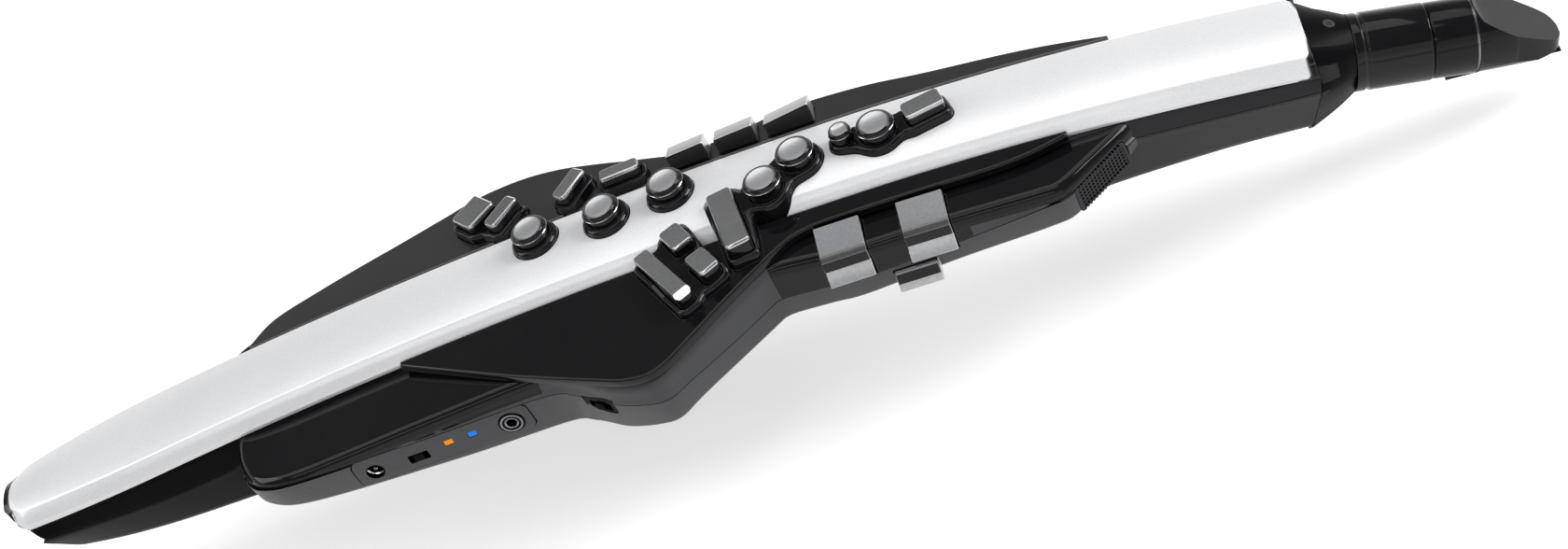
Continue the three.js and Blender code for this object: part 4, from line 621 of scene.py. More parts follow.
def makePanel():
    start, end, past = panel["startX"], panel["endX"], panel["past"]
    stations = [start, start + 0.2, start + 0.5]
    stations += list(np.linspace(start + 1, end - panel["endRound"], panel["stations"])) + neckStations()
    ease = {start: 0.5, start + 0.2: 0.2}  # how far the first two rings are drawn in

    def outer(x):
        return [(y, z - ease.get(x, 0)) for y, z in panelLine(x, -0.3 * ease.get(x, 0))]

    def inner(x):
        line = panelLine(max(x, start + panel["cornerLength"]), -panel["thickness"])
        return line[:-2] + [(line[-2][0], line[-2][1] - past), (0, line[-1][1] - past)]
    hollow = solid("hollow", loftAlong([start - past] + stations + [end + past], inner))
    return boolean(solid("frontPanel", loftAlong(stations, outer)), [hollow])


# Outer case: a core along the middle and a pillow on each flank
nearEdge = {"startX": 96, "endX": 431, "reach": 50}
nearEdgeShares = [(0, -0.3), (0.006, -0.6), (0.021, -0.82), (0.04, -0.93), (0.07, -0.99), (0.13, -1.01),
                  (0.25, -1.01), (0.361, -1.01), (0.394, -1.1), (0.43, -1.28), (0.466, -1.38), (0.49, -1.39),
                  (0.515, -1.27), (0.55, -1.1), (0.585, -0.925), (0.605, -0.825), (0.61, -0.803), (0.616, -0.797),
                  (0.63, -0.803), (0.66, -0.83), (0.7, -0.87), (0.8, -0.87), (0.893, -0.87), (0.92, -0.84),
                  (0.955, -0.67), (0.988, -0.5), (1, -0.42)]
farEdge = {"startX": 90, "endX": 442, "reach": 54}
farEdgeShares = [(0, 0.3), (0.02, 0.53), (0.12, 0.72), (0.22, 0.86), (0.3, 0.98), (0.355, 1), (0.4, 0.95),
                 (0.47, 0.76), (0.54, 0.63), (0.6, 0.66), (0.66, 0.71), (0.72, 0.68), (0.8, 0.61), (0.9, 0.53),
                 (1, 0.38)]
flanks = [(nearEdge, nearEdgeShares, -1), (farEdge, farEdgeShares, 1)]
caseValues = {"wall": 2.2, "rollIn": 4.6, "rollDrop": 4.4, "topSideIn": 1.0, "footIn": 0.6, "footUp": 3,
              "footRollIn": 2.4, "footRollUp": 0.7, "footBendIn": 1.3, "footBendUp": 1.6, "footFlat": 2,
              "baseIn": 7, "rootY": 2, "rootUp": 3, "rootDrop": 1.2, "rollSteps": 8, "hold": 0.5,
              "grainFromX": 216, "creaseX": 301, "sideKeysX": 369,
              "points": 190, "innerPoints": 90, "stations": 150, "innerStations": 40}


def planLine(edge, shares, count):  # plan line from shares of the flank's length and reach
    run = edge["endX"] - edge["startX"]
    return smoothLine([(edge["startX"] + x * run, y * edge["reach"]) for x, y in shares], count)


def besidePanel(edge, shares, side, count):  # the same for shares of the room beyond the panel
    run, room = edge["endX"] - edge["startX"], edge["reach"] - panel["half"]
    return smoothLine([(edge["startX"] + x * run, side * (panel["half"] + y * room)) for x, y in shares], count)


def wingShape(edge, shares, side, count, shrink):  # the flank's solid from its foot over the seam to the deck
    c = caseValues
    outer = planLine(edge, shares, count)
    inner = innerLine(outer, side * c["rootY"])

    def foot(up):
        return lambda x, y, isOuter: (footZ(x) if isOuter else backZ(x) + c["rootUp"]) + up

    def top(drop):
        return lambda x, y, isOuter: deckZ(x, y) - drop - (0 if isOuter else c["rootDrop"])
    levels = [(c["baseIn"], foot(shrink)), (shrink + c["footRollIn"] + c["footFlat"], foot(shrink + 0.2)),
              (shrink + c["footRollIn"], foot(shrink + c["footRollUp"])),
              (shrink + c["footBendIn"], foot(shrink + c["footBendUp"])),
              (shrink + c["footIn"], foot(shrink + c["footUp"])), (shrink, lambda x, y, o: seamZ(x)),
              (shrink + c["topSideIn"] * 0.5, lambda x, y, o: (seamZ(x) + top(c["rollDrop"])(x, y, o)) / 2)]
    for t in np.linspace(0, math.pi / 2, c["rollSteps"]):
        inset = c["topSideIn"] + (c["rollIn"] - c["topSideIn"]) * (1 - math.cos(t))
        levels.append((shrink + inset, top(shrink + c["rollDrop"] * (1 - math.sin(t)))))
    levels.append((levels[-1][0] + c["hold"], top(shrink)))
    shape = pillow(outer, inner, levels)
    bands, perBand = len(levels) - 1, 2 * count
    seamBand, rollBand = 5, 7  # the first band above the seam and the first one of the roll
    grain = caseFinishes.index("grainCase")
    plan = np.vstack([outer, inner[::-1]])

    def isGrain(band, x):  # the roll is gloss but for the slanted flank, and so is the wall beside the side keys
        if band >= rollBand:
            return side < 0 and c["grainFromX"] < x < c["creaseX"]
        beside = side < 0 and c["creaseX"] < x < c["sideKeysX"]
        return band < seamBand or not beside and (band == seamBand or x > c["grainFromX"])
    slots = [grain if isGrain(i // perBand, plan[i % perBand][0]) else 0 for i in range(bands * perBand)]
    caps = (len(shape[1]) - bands * perBand) // 2
    return shape, slots + [grain] * caps + [0] * caps


def coreLine(x, shrink=0.0):  # half profile of the core from the deck over the seam to the back
    half = body["half"] - body["bellNarrowing"] * bellShare(x) - shrink
    deck = frontZ(x) - body["deckDrop"] - shrink
    back = backZ(x) + shrink
    seam, corner = seamZ(x), body["deckCorner"]
    line = [(0, deck), (half - corner, deck), (half, deck - corner), (half + body["flare"], seam),
            (half + body["flare"] - body["shoulder"] / 3, seam - body["shoulder"]),
            (half - body["tuckIn"], back + body["tuckUp"]), (half - body["rollIn"], back + body["rollUp"]),
            (half * body["backShare"], back), (0, back)]
    return list(map(tuple, rounded(line, body["rounding"], 4)))


bellEnd = {"rimDrop": 1.6, "rimOut": 1, "seamX": 13, "footX": 25, "step": 2, "beyond": -10, "rimDepth": 14,
           "taperFrom": 4, "taper": 0.25, "rimSpare": 0.1}
neckEnd = {"lastX": 489, "out": 0.35, "innerOut": 0.1, "drop": 0.4}


def bellEndShape():  # what is cut off the bell end: a slant to the seam, a step and a slant to the back
    rimZ, beyond, step = frontZ(0) - bellEnd["rimDrop"], bellEnd["beyond"], bellEnd["step"]
    seamX, footX = bellEnd["seamX"], bellEnd["footX"]
    seam = seamZ(seamX)
    return sidePrism([(beyond, rimZ), (0, rimZ), (seamX, seam), (seamX - step, seam - step), (footX, backZ(footX)),
                      (footX, -farOut), (beyond, -farOut)], 2 * farOut)


def beyondLine(line, offset, sign, count=160):  # all above or below a line along the body
    xs = np.linspace(-through, body["neckX"] + through, count)
    outline = [(x, line(x) + offset) for x in xs] + [(xs[-1], sign * farOut), (xs[0], sign * farOut)]
    return sidePrism(outline, 2 * farOut)


def rimShapes():  # gloss rims level with the panel round its chamfered bell end and its rounded neck end
    def rim(x, at, out, drop):
        line = panelLine(at, out)
        return [(y, z + frontZ(x) - frontZ(at) - drop) for y, z in line[:-1]] + [(0, frontZ(x) - bellEnd["rimDepth"])]

    def bellRim(x):
        out = bellEnd["rimOut"] - bellEnd["taper"] * max(x - bellEnd["taperFrom"], 0)
        return rim(x, max(x, panel["startX"]), out, bellEnd["rimOut"] + bellEnd["rimSpare"])

    def neckRim(x):
        out = neckEnd["out"] if x > neckEnd["lastX"] else neckEnd["innerOut"]
        return rim(x, panel["endX"] - panel["endRound"] - 0.1, out, neckEnd["drop"])
    first, last = panel["startX"], panel["endX"]
    seat = [first - gap] + list(np.linspace(first, first + 10, 21)) + [last - 9, last - 6]
    seat += neckStations() + [last + gap]

    def cavity(x):
        line = panelLine(max(x, first), gap)
        return line[:-1] + [(0, line[-1][1])]
    return (loftAlong([0, 0.3, 1.2, 3, 5, 8, 11], bellRim), loftAlong([last - 7, last - 3, last], neckRim),
            loftAlong(seat, cavity))


# Keys: the places that both a key and its seat in the case use
roundKey = {"capRadius": 5.6, "ringRadius": 6.85, "plungerRadius": 6.2, "ringFoot": 5.3, "ringTop": 7,
            "dish": 0.7, "foot": -12, "sides": 96}
keyCollar = {"foot": -10, "top": 2.2, "chamfer": 1, "rim": 1.75, "clearance": 0.4}
keyRoom = {"collar": 16,  # how far the cuts round each kind of key reach
           "baseFoot": -17, "wellFoot": -18, "wellTop": 7, "palmFoot": -17, "palmTop": 9}
roundKeys = [("right_index_key", 223, 7, 1), ("right_middle_key", 250, 4, 1), ("right_ring_key", 274, 5, 1),
             ("left_ring_key", 308, -11, 1), ("left_middle_key", 320.5, -2, 1), ("left_bis_key", 337, 0, 0.6),
             ("left_index_key", 349, -2, 1)]
barKey = {"foot": -12, "corner": 1.6, "clearance": 0.4, "rim": 1.6, "baseFoot": -11}
barColumns = ("name", "x", "y", "length", "width", "turn", "top", "baseTop")
barRows = [("low_c_sharp_bar_key", 268.7, -34.3, 30, 6.4, -61.3, 2.2, -1.8),
           ("low_b_pad_key", 274.8, -19, 11.6, 8, -63.4, 2.4, -1.2),
           ("low_b_flat_pad_key", 283, -34.8, 11.6, 8, -60.3, 2.2, -1.8),
           ("g_sharp_bar_key", 294, -19.84, 29, 9, -79.8, 3.2, -0.8),
           ("low_c_pad_key", 199.6, 33, 13, 11, 41, 2, -1.8),
           ("e_flat_pad_key", 210.6, 27, 14, 5.8, 46.4, 2.4, -1.8),
           ("side_b_flat_key", 237.2, 27.3, 14, 6, 50.7, 2.6, -1.8),
           ("side_c_key", 256.3, 24.6, 14.6, 5.6, 2, 2.6, -1.8),
           ("front_f_lever_key", 366, 0, 14, 8.4, 194, 7, 3)]
barKeys = [dict(zip(barColumns, row)) for row in barRows]
palmKey = {"nearY": 21.4, "width": 8.6, "top": 2.6, "fall": 2.5, "roll": 0.9, "rise": 0.9, "longRise": 2.6,
           "longKey": "palm_d_key", "taperAbove": -6, "ease": 0.35, "foot": -11.6, "clearance": 0.4,
           "wellCorner": 1.2}
palmKeys = [("palm_e_flat_key", 281, 14), ("palm_f_key", 299, 14.4), ("palm_d_key", 318.5, 17)]
sideKey = {"length": 16, "backY": -31, "topDrop": 4.6, "footDrop": 20.4, "footY": -43, "lipY": -46, "lipDrop": 19,
           "faceY": -43.4, "lipTopDrop": 14, "faceDrop": 10, "kneeY": -41.4, "kneeDrop": 8.4, "backRoom": 2.2}
sideKeys = [("left_side_b_flat_key", 328.5), ("left_side_c_key", 357.4)]
lowSideKey = {"length": 15, "backY": -38, "topDrop": 22.4, "faceY": -45, "edge": 1, "lipY": -46.8, "lipTopDrop": 27,
              "lipDrop": 29.6, "footDrop": 30.4, "footY": -44, "backRoom": 2.2}
lowSideKeys = [("left_side_e_key", 349.6)]


def barRing(key, grow=0.0):
    return roundedRect(key["length"] + 2 * grow, key["width"] + 2 * grow, barKey["corner"] + grow, 7)


def barPlace(key):
    return onFace(key["x"], key["y"], math.radians(key["turn"]))


def collarRadius(share):
    return (roundKey["ringRadius"] + keyCollar["rim"]) * share


def roundCollar(share):
    radius, low, high, chamfer = collarRadius(share), keyCollar["foot"], keyCollar["top"], keyCollar["chamfer"]
    return turned(rounded([(0, low), (radius, low), (radius, high - chamfer), (radius - chamfer, high), (0, high)],
                          0.5, 4))


def barBase(key):  # raised base with a rolled edge
    top = key["baseTop"]
    return blockOf(barRing(key, barKey["rim"]), [(0, barKey["baseFoot"]), (0, top - 0.7), (0.08, top - 0.35),
                                                 (0.3, top - 0.1), (0.6, top)])


# Raised islands join neighbouring collars and bases with soft fillets: members and a point inside
islands = [(("left_ring_key", "left_middle_key", "g_sharp_bar_key"), (300, -10)),
           (("left_bis_key", "left_index_key", "front_f_lever_key"), (352, -1)),
           (("low_c_sharp_bar_key", "low_b_pad_key", "low_b_flat_pad_key"), (276.5, -31)),
           (("low_c_pad_key", "e_flat_pad_key"), (205.4, 30))]
islandValues = {"fillet": 6, "grow": 0.15, "foot": -12, "reach": 34, "step": 0.05, "points": 260,
                "collarTop": 2.2, "fall": 0.8, "mostFall": 2, "blend": 0.7, "above": 9}
islandMembers = [name for names, _ in islands for name in names]
loneRounds = [key for key in roundKeys if key[0] not in islandMembers]
loneBars = [key for key in barKeys if key["name"] not in islandMembers]


def islandParts(members):  # for each member: distance outside it, a frame, top height and place across the body
    parts = []
    for name, x, y, share in roundKeys:
        if name in members:
            def outsideRound(p, centre=(x, y), radius=collarRadius(share)):
                return np.linalg.norm(p - centre, axis=-1) - radius
            parts.append((outsideRound, onFace(x, y), islandValues["collarTop"], y))
    corner = barKey["corner"] + barKey["rim"]
    for key in barKeys:
        if key["name"] in members:
            a = math.radians(key["turn"])
            axes = np.array([[math.cos(a), -math.sin(a)], [math.sin(a), math.cos(a)]])

            def outsideBar(p, key=key, axes=axes):
                room = np.array([key["length"], key["width"]]) / 2 + barKey["rim"] - corner
                over = np.abs((p - [key["x"], key["y"]]) @ axes) - room
                return np.linalg.norm(np.maximum(over, 0), axis=-1) + np.minimum(over.max(axis=-1), 0) - corner
            parts.append((outsideBar, barPlace(key), key["baseTop"], key["y"]))
    return parts


def softUnion(fields):  # joins distances with a fillet where they are alike
    reach = islandValues["fillet"]
    total = fields[0]
    for field in fields[1:]:
        near = np.maximum(reach - np.abs(total - field), 0) / reach
        total = np.minimum(total, field) - near * near * reach / 4
    return total


def islandTop(parts, spots):  # the members' top planes, blended by how near each one is
    total, share = 0, 0
    for outside, place, high, midY in parts:
        up = place.to_3x3() @ Vector((0, 0, 1))
        top = place @ Vector((0, 0, high))
        plane = top.z - (up.x * (spots[:, 0] - top.x) + up.y * (spots[:, 1] - top.y)) / up.z
        crease = panel["half"] - panel["creaseIn"]
        fall = islandValues["fall"] * panel["creaseDrop"] * (spots[:, 1]**2 - midY**2) / crease**2
        weight = 1 / (np.maximum(outside(spots), 0) + islandValues["blend"])**2
        total = total + weight * (plane - np.clip(fall, 0, islandValues["mostFall"]))
        share = share + weight
    return total / share


def islandTools(grow=0.0):  # the islands, or with grow the room that other pieces leave for them
    v, tools = islandValues, []
    angles = np.linspace(0, 2 * math.pi, v["points"], endpoint=False)
    rays = np.stack([np.cos(angles), np.sin(angles)], -1)
    radii = np.arange(0, v["reach"], v["step"])
    levels = [(0, v["foot"]), (0, -1.3), (0.1, -0.85), (0.38, -0.38), (0.85, -0.1), (1.3, 0)]
    if grow:
        levels = [(-grow, v["foot"] - through), (-grow, v["above"])]
    for members, inside in islands:
        parts = islandParts(members)
        spots = np.array(inside) + radii[:, None, None] * rays
        filled = softUnion([part[0](spots) for part in parts]) < v["grow"]
        last = radii[len(radii) - 1 - np.argmax(filled[::-1], axis=0)]
        last = (np.roll(last, 1) + 2 * last + np.roll(last, -1)) / 4
        ring = np.array(inside) + last[:, None] * rays
        rings = []
        for inset, up in levels:
            flat = insetRing(ring, inset)
            rings.append(np.column_stack([flat, islandTop(parts, flat) + up]))
        tools.append(solid("island", ringStack(rings)))
    return tools


def sideSlot(key, openTop, openFoot, spare=0.4):  # slot in the wall for a side key
    back = key["backY"] + key["backRoom"]
    top = -key["topDrop"] + (through if openTop else spare)
    foot = -key["footDrop"] - (through if openFoot else spare)
    mouth = key["lipY"] - through
    return endPrism([(back, top), (back, foot), (mouth, foot), (mouth, top)], key["length"] + 2 * spare)


def baseTools():
    tools = [solid("collar", roundCollar(share), onFace(x, y)) for _, x, y, share in loneRounds]
    return tools + [solid("base", barBase(key), barPlace(key)) for key in loneBars] + islandTools()


def baseRoomTools():
    reach = keyRoom["collar"]
    tools = [solid("room", drumOf(collarRadius(share) + gap, -reach, reach), onFace(x, y))
             for _, x, y, share in loneRounds]
    tools += [solid("room", slabOf(barRing(key, barKey["rim"] + gap), keyRoom["baseFoot"], key["top"] + through),
                    barPlace(key)) for key in loneBars]
    return tools + islandTools(gap)


def wellTools():
    low, high, room = keyRoom["wellFoot"], keyRoom["wellTop"], keyCollar["clearance"]
    tools = [solid("well", drumOf(roundKey["plungerRadius"] * share + room, low, high), onFace(x, y))
             for _, x, y, share in roundKeys]
    tools += [solid("well", slabOf(barRing(key, barKey["clearance"]), low, key["top"] + through), barPlace(key))
              for key in barKeys]
    return tools + palmWellTools()


def palmWellTools():
    tools, room = [], 2 * palmKey["clearance"]
    for _, x, length in palmKeys:
        ring = roundedRect(length + room, palmKey["width"] + room, palmKey["wellCorner"])
        ring = ring + [0, palmKey["nearY"] + palmKey["width"] / 2]
        tools.append(solid("well", slabOf(ring, keyRoom["palmFoot"], keyRoom["palmTop"]), onFace(x, 0)))
    return tools


# Openings in the case walls: speaker, ports and control slide, with the frames they share with their pieces
grille = {"x": 415.6, "y": -33.2, "angle": 36.5, "length": 25, "margin": 0.2, "corner": 1.6, "thickness": 1.8,
          "sunk": 0.2, "topDrop": 3.2, "pocket": 4.5}
port = {"x": 175.5, "y": -50.4, "seamGap": 0.2, "length": 66, "height": 11.4, "corner": 2.4, "thickness": 2}
control = {"x": 234.5, "y": -60.5, "seamDrop": 1, "angle": -36, "length": 14, "height": 9, "corner": 2,
           "recess": 0.9, "slotLength": 9.4, "slotHeight": 3.6, "slotDrop": 1.8, "slotCorner": 0.5, "knobLength": 3.6}
grilleTop = deckZ(grille["x"], grille["y"]) - grille["topDrop"]
grilleFoot = footZ(grille["x"]) + grille["margin"]
grilleHeight = grilleTop - grilleFoot
grilleFrame = onWall(grille["x"], grille["y"], (grilleTop + grilleFoot) / 2, grille["angle"])
portFrame = onWall(port["x"], port["y"], seamZ(port["x"]) - port["seamGap"] - port["height"] / 2, 0)
controlFrame = onWall(control["x"], control["y"], seamZ(control["x"]) - control["seamDrop"], control["angle"])
tube = {"x": 503, "z": -41.4, "drop": 15, "radius": 13.2, "length": 25.6, "tenonRadius": 8.4, "tenonLength": 18,
        "boreRadius": 3, "grooveAt": 3.2, "grooveWidth": 1.4, "grooveDepth": 0.5}
tubeFrame = Matrix.Translation((tube["x"], 0, tube["z"])) @ Matrix.Rotation(math.radians(90 + tube["drop"]), 4, "Y")


def wallTools():
    tools = [solid("slot", sideSlot(sideKey, True, False), onFace(x, 0)) for _, x in sideKeys]
    tools += [solid("slot", sideSlot(lowSideKey, False, True), onFace(x, 0)) for _, x in lowSideKeys]
    ring = roundedRect(grille["length"] + 2 * gap, grilleHeight + 2 * gap, grille["corner"])
    tools.append(solid("slot", slabOf(ring, -grille["pocket"]), grilleFrame, "grainCase"))
    ring = roundedRect(control["length"], control["height"], control["corner"])
    tools.append(solid("slot", slabOf(ring, -control["recess"]), controlFrame, "satinCase"))
    ring = roundedRect(control["slotLength"], control["slotHeight"], control["slotCorner"]) - [0, control["slotDrop"]]
    return tools + [solid("slot", slabOf(ring), controlFrame, "satinCase")]


backItems = {"octaveX": (334, 370), "octaveSize": 15, "octaveCorner": 3, "octaveRoom": 0.4, "restX": 352,
             "restRadius": 8.4, "padX": 264, "padRadius": 7, "padRoom": 0.5, "displayX": 405, "displayLength": 26,
             "displayWidth": 13, "displayCorner": 1.2, "buttonX": (427, 435), "buttonRadius": 2.6,
             "sides": 64, "dots": {"Reach": 5.6, "Pitch": 1.5, "Radius": 0.42}}


def lowerTools():
    b = backItems
    size = b["octaveSize"] + 2 * b["octaveRoom"]
    cuts = [(slabOf(roundedRect(port["length"] + 2 * gap, port["height"] + 2 * gap, port["corner"])), portFrame)]
    cuts += [(slabOf(roundedRect(size, size, b["octaveCorner"])), onBack(x)) for x in b["octaveX"]]
    cuts += [(drumOf(b["restRadius"] + gap, sides=b["sides"]), onBack(b["restX"])),
             (drumOf(b["padRadius"] + b["padRoom"], sides=b["sides"]), onBack(b["padX"])),
             (slabOf(roundedRect(b["displayLength"] + 2 * gap, b["displayWidth"] + 2 * gap, b["displayCorner"])),
              onBack(b["displayX"]))]
    cuts += [(drumOf(b["buttonRadius"] + gap, sides=b["sides"]), onBack(x)) for x in b["buttonX"]]
    return [solid("cut", shape, matrix, "grainCase") for shape, matrix in cuts]


cover = {"startX": 65.5, "endX": 221.5, "halfWidth": 16, "lift": 7, "corner": 2.5, "gripX": 82,
         "grip": {"Count": 6, "Pitch": 1.8, "Width": 16.0, "Radius": 0.5}}


def coverBox(spare):
    low, high = cover["startX"] - spare, cover["endX"] + spare
    top = backZ((low + high) / 2) + cover["lift"] + spare
    ring = roundedRect(high - low, 2 * (cover["halfWidth"] + spare), cover["corner"]) + [(low + high) / 2, 0]
    return slabOf(ring, -farOut, top)


def boreTool():
    return solid("bore", drumOf(tube["boreRadius"], -tube["tenonLength"], through, 48), tubeFrame)


def copyOf(piece, name):
    twin = bpy.data.objects.new(name, piece.data.copy())
    bpy.context.collection.objects.link(twin)
    return twin


def makeCase():
    shape = loftAlong(list(np.linspace(0, body["neckX"], caseValues["stations"])), coreLine)
    grain, satin = (caseFinishes.index(name) for name in ("grilleCase", "satinCase"))
    slots = [grain if shape[0][face[0]][0] > caseValues["grainFromX"] else satin for face in shape[1]]
    upper = solid("upperCase", shape, finish=slots)
    wings = []
    for flank in flanks:
        shape, slots = wingShape(*flank, caseValues["points"], 0)
        wings.append(solid("wing", shape, finish=slots))
    *rims, seat = [solid("rim", shape) for shape in rimShapes()]
    boolean(upper, wings + rims, "UNION")
    boolean(upper, [seat])
    inside = np.linspace(bellEnd["footX"], body["neckX"] - caseValues["wall"], caseValues["innerStations"])
    rooms = [loftAlong(list(inside), lambda x: coreLine(x, caseValues["wall"]))]
    rooms += [wingShape(*flank, caseValues["innerPoints"], caseValues["wall"])[0] for flank in flanks]
    boolean(upper, [solid("end", bellEndShape(), finish="satinCase")]
            + [solid("room", shape, finish="grainCase") for shape in rooms])
    boolean(upper, baseTools(), "UNION")
    boolean(upper, wellTools() + wallTools() + [boreTool()])
    boolean(upper, [solid("slant", slantTool())])
    print("stage: case solid")
    lower = copyOf(upper, "lowerCase")
    boolean(upper, [solid("above", beyondLine(seamZ, gap / 2, 1))], "INTERSECT")
    boolean(lower, [solid("below", beyondLine(seamZ, -gap / 2, -1))], "INTERSECT")
    boolean(lower, lowerTools() + [sinkTool(matrix) for matrix in screwPlaces()[1]])
    coverPiece = copyOf(lower, "batteryCover")
    boolean(coverPiece, [solid("box", coverBox(0))], "INTERSECT")
    boolean(lower, [solid("box", coverBox(gap))])
    finished(upper, "case", ["upper_case"], "gloss_case")
    finished(lower, "case", ["lower_case"], "matt_case")
    finished(coverPiece, "battery_cover", ["battery_cover"], "matt_case")
    ribs = repeated("coverGrip", "ribs", cover["grip"], onBack(cover["gripX"]), finish="grainCase")
    finished(ribs, "battery_cover", [], "matt_case")


# Gloss key plates beside the panel
plate = {"thickness": 3.1, "edge": 0.7, "hold": 0.4, "points": 200}
nearPlate = {"startX": 167, "endX": 409, "reach": 68}
nearPlateShares = [(0, 0.045), (0.06, 0.227), (0.165, 0.536), (0.244, 0.747), (0.3, 0.888), (0.335, 0.969),
                   (0.37, 1), (0.4, 0.951), (0.44, 0.803), (0.51, 0.529), (0.575, 0.298), (0.62, 0.192),
                   (0.7, 0.174), (0.86, 0.171), (0.93, 0.143), (0.98, 0.08), (1, 0.045)]
farPlate = {"startX": 104, "endX": 430, "reach": 51}
farPlateShares = [(0, 0.074), (0.03, 0.35), (0.09, 0.513), (0.15, 0.643), (0.19, 0.724), (0.245, 0.854),
                  (0.29, 0.968), (0.34, 0.984), (0.385, 0.903), (0.43, 0.74), (0.485, 0.513), (0.54, 0.334),
                  (0.6, 0.383), (0.66, 0.48), (0.74, 0.432), (0.81, 0.318), (0.92, 0.204), (1, 0.074)]


def plateShape(edge, shares, side):  # a plate on the deck from the panel to its plan line
    outer = besidePanel(edge, shares, side, plate["points"])
    inner = innerLine(outer, side * (panel["half"] + gap))
    t, e = plate["thickness"], plate["edge"]
    levels = [(e / 2, 0), (0.05, 0.3), (0, e), (0, t - e), (0.1, t - e * 0.55), (0.32, t - e * 0.2), (e, t),
              (e + plate["hold"], t)]
    return pillow(outer, inner, [(inset, lambda x, y, o, up=up: deckZ(x, y) + gap + up) for inset, up in levels])


def makePlates():
    near = solid("nearKeyPlate", plateShape(nearPlate, nearPlateShares, -1))
    boolean(near, baseRoomTools() + wallTools())
    far = solid("farKeyPlate", plateShape(farPlate, farPlateShares, 1), finish="deepGloss")
    boolean(far, baseRoomTools() + palmWellTools())
    finished(near, "case", ["near_key_plate"], "gloss_case")
    finished(far, "case", ["far_key_plate"], "gloss_case")
    front = makePanel()
    boolean(front, baseRoomTools())
    finished(front, "case", ["front_panel"], "silver_panel", "silverPanel")


# Round finger keys: dished cap, gloss side and a thin bright ring on a plunger
def bandSlots(names, sides):
    return [caseFinishes.index(name) for name in names for _ in range(sides)]


def makeRoundKeys():
    k = roundKey
    for name, x, y, share in roundKeys:
        r, top = k["ringRadius"] * share, k["ringTop"]
        cap, plunger = k["capRadius"] * share, k["plungerRadius"] * share
        low = k["ringFoot"]
        profile = [(0, k["foot"]), (plunger, k["foot"]), (plunger, low - 0.25), (r - 0.12, low - 0.1),
                   (r, low + 0.08), (r - 0.1, low + 0.25), (plunger + 0.15, low + 0.4), (plunger + 0.1, top - 0.75),
                   (plunger - 0.1, top - 0.3), (plunger - 0.45, top - 0.05), (cap + 0.05, top),
                   (cap - 0.1, top - 0.1), (cap - 0.2, top - 0.1), (cap - 0.35, top - 0.02),
                   (cap - 0.7, top - 0.12), (cap * 0.7, top - k["dish"] * 0.6), (cap * 0.4, top - k["dish"] * 0.9),
                   (cap * 0.15, top - k["dish"]), (0, top - k["dish"])]
        names = ["glossCase"] * 2 + ["chrome"] * 3 + ["glossCase"] * 7 + ["smokedMetal"] * 2 + ["keyCap"] * 4
        shape = turned(profile, k["sides"])
        piece = solid(name + "Cap", shape, onFace(x, y), bandSlots(names, k["sides"]))
        finished(piece, name, [name], "key_cap", angle=50)


# Bar and pad keys: satin tops with a fine bevel at the outer end, wide and bright on the longest bar
facet = {"wideKey": "low_c_sharp_bar_key", "wide": (2.6, 1.7), "narrow": (0.8, 0.6), "capEdge": 1.3,
         "groove": 0.18, "lip": 0.65}


def makeBarKeys():
    edge, groove = facet["capEdge"], facet["groove"]
    for key in barKeys:
        name, top, end = key["name"], key["top"], key["length"] / 2
        ring = barRing(key)
        levels = [(0, barKey["foot"]), (0, top - edge - 0.15), (groove, top - edge), (groove, top - edge + 0.1),
                  (0, top - edge + 0.25), (0, top - 0.8), (0.1, top - 0.42), (0.32, top - 0.14), (0.7, top - 0.02),
                  (1.1, top)]
        slots = bandSlots(["glossCase"] * 4 + ["smokedMetal"] * 5, len(ring)) + [0, caseFinishes.index("smokedMetal")]
        piece = solid(name + "Cap", blockOf(ring, levels), barPlace(key), slots)
        reach, drop = facet["wide"] if name == facet["wideKey"] else facet["narrow"]
        wedge = [(end - reach, top + 0.01), (end + 1, top + 0.01), (end + 1, top - drop - facet["lip"]),
                 (end, top - drop)]
        boolean(piece, [solid("wedge", sidePrism(wedge, key["width"] + 4), barPlace(key), "chrome")])
        finished(piece, name, [name], "key_cap", angle=24)


def barAlong(ring, length, edge=0.4, taper=None):  # profile of y and z drawn out along x, with eased ends
    rings = []
    for share, inset in ((-0.5, edge), (-0.5, edge * 0.3), (-0.5, 0), (0.5, 0), (0.5, edge * 0.3), (0.5, edge)):
        x = share * length + math.copysign(1, -share) * (edge - inset)
        flat = insetRing(ring, inset)
        if taper:
            flat = taper(flat, x / length)
        rings.append(np.column_stack([np.full(len(flat), x), flat]))
    return ringStack(rings)


faceTests = {"palmFront": -0.6, "sideFront": -0.85, "lipMargin": 0.0002, "faceMargin": 0.0006}  # margins in metres


def frontsDark(piece):  # faces that look towards the near flank get the black gloss finish
    for face in piece.data.polygons:
        if face.normal.y < faceTests["palmFront"]:
            face.material_index = caseFinishes.index("glossCase")


def makePalmKeys():
    p = palmKey
    near, far = p["nearY"], p["nearY"] + p["width"]
    low, roll, ease = p["top"] - p["fall"], p["roll"], p["ease"]
    ring = roundedLoop([(near, p["foot"]), (far, p["foot"]), (far, low - roll), (far - roll, low),
                        (near + roll / 2, p["top"]), (near, p["top"] - roll / 2)], ease, 4)
    for name, x, length in palmKeys:
        def taper(flat, share, rise=p["longRise"] if name == p["longKey"] else p["rise"]):
            return np.column_stack([flat[:, 0], flat[:, 1] + np.where(flat[:, 1] > p["taperAbove"], rise * share, 0)])
        piece = solid(name + "Cap", barAlong(ring, length, ease, taper), onFace(x, 0), "keyCap")
        frontsDark(piece)
        finished(piece, name, [name], "chrome", angle=30)


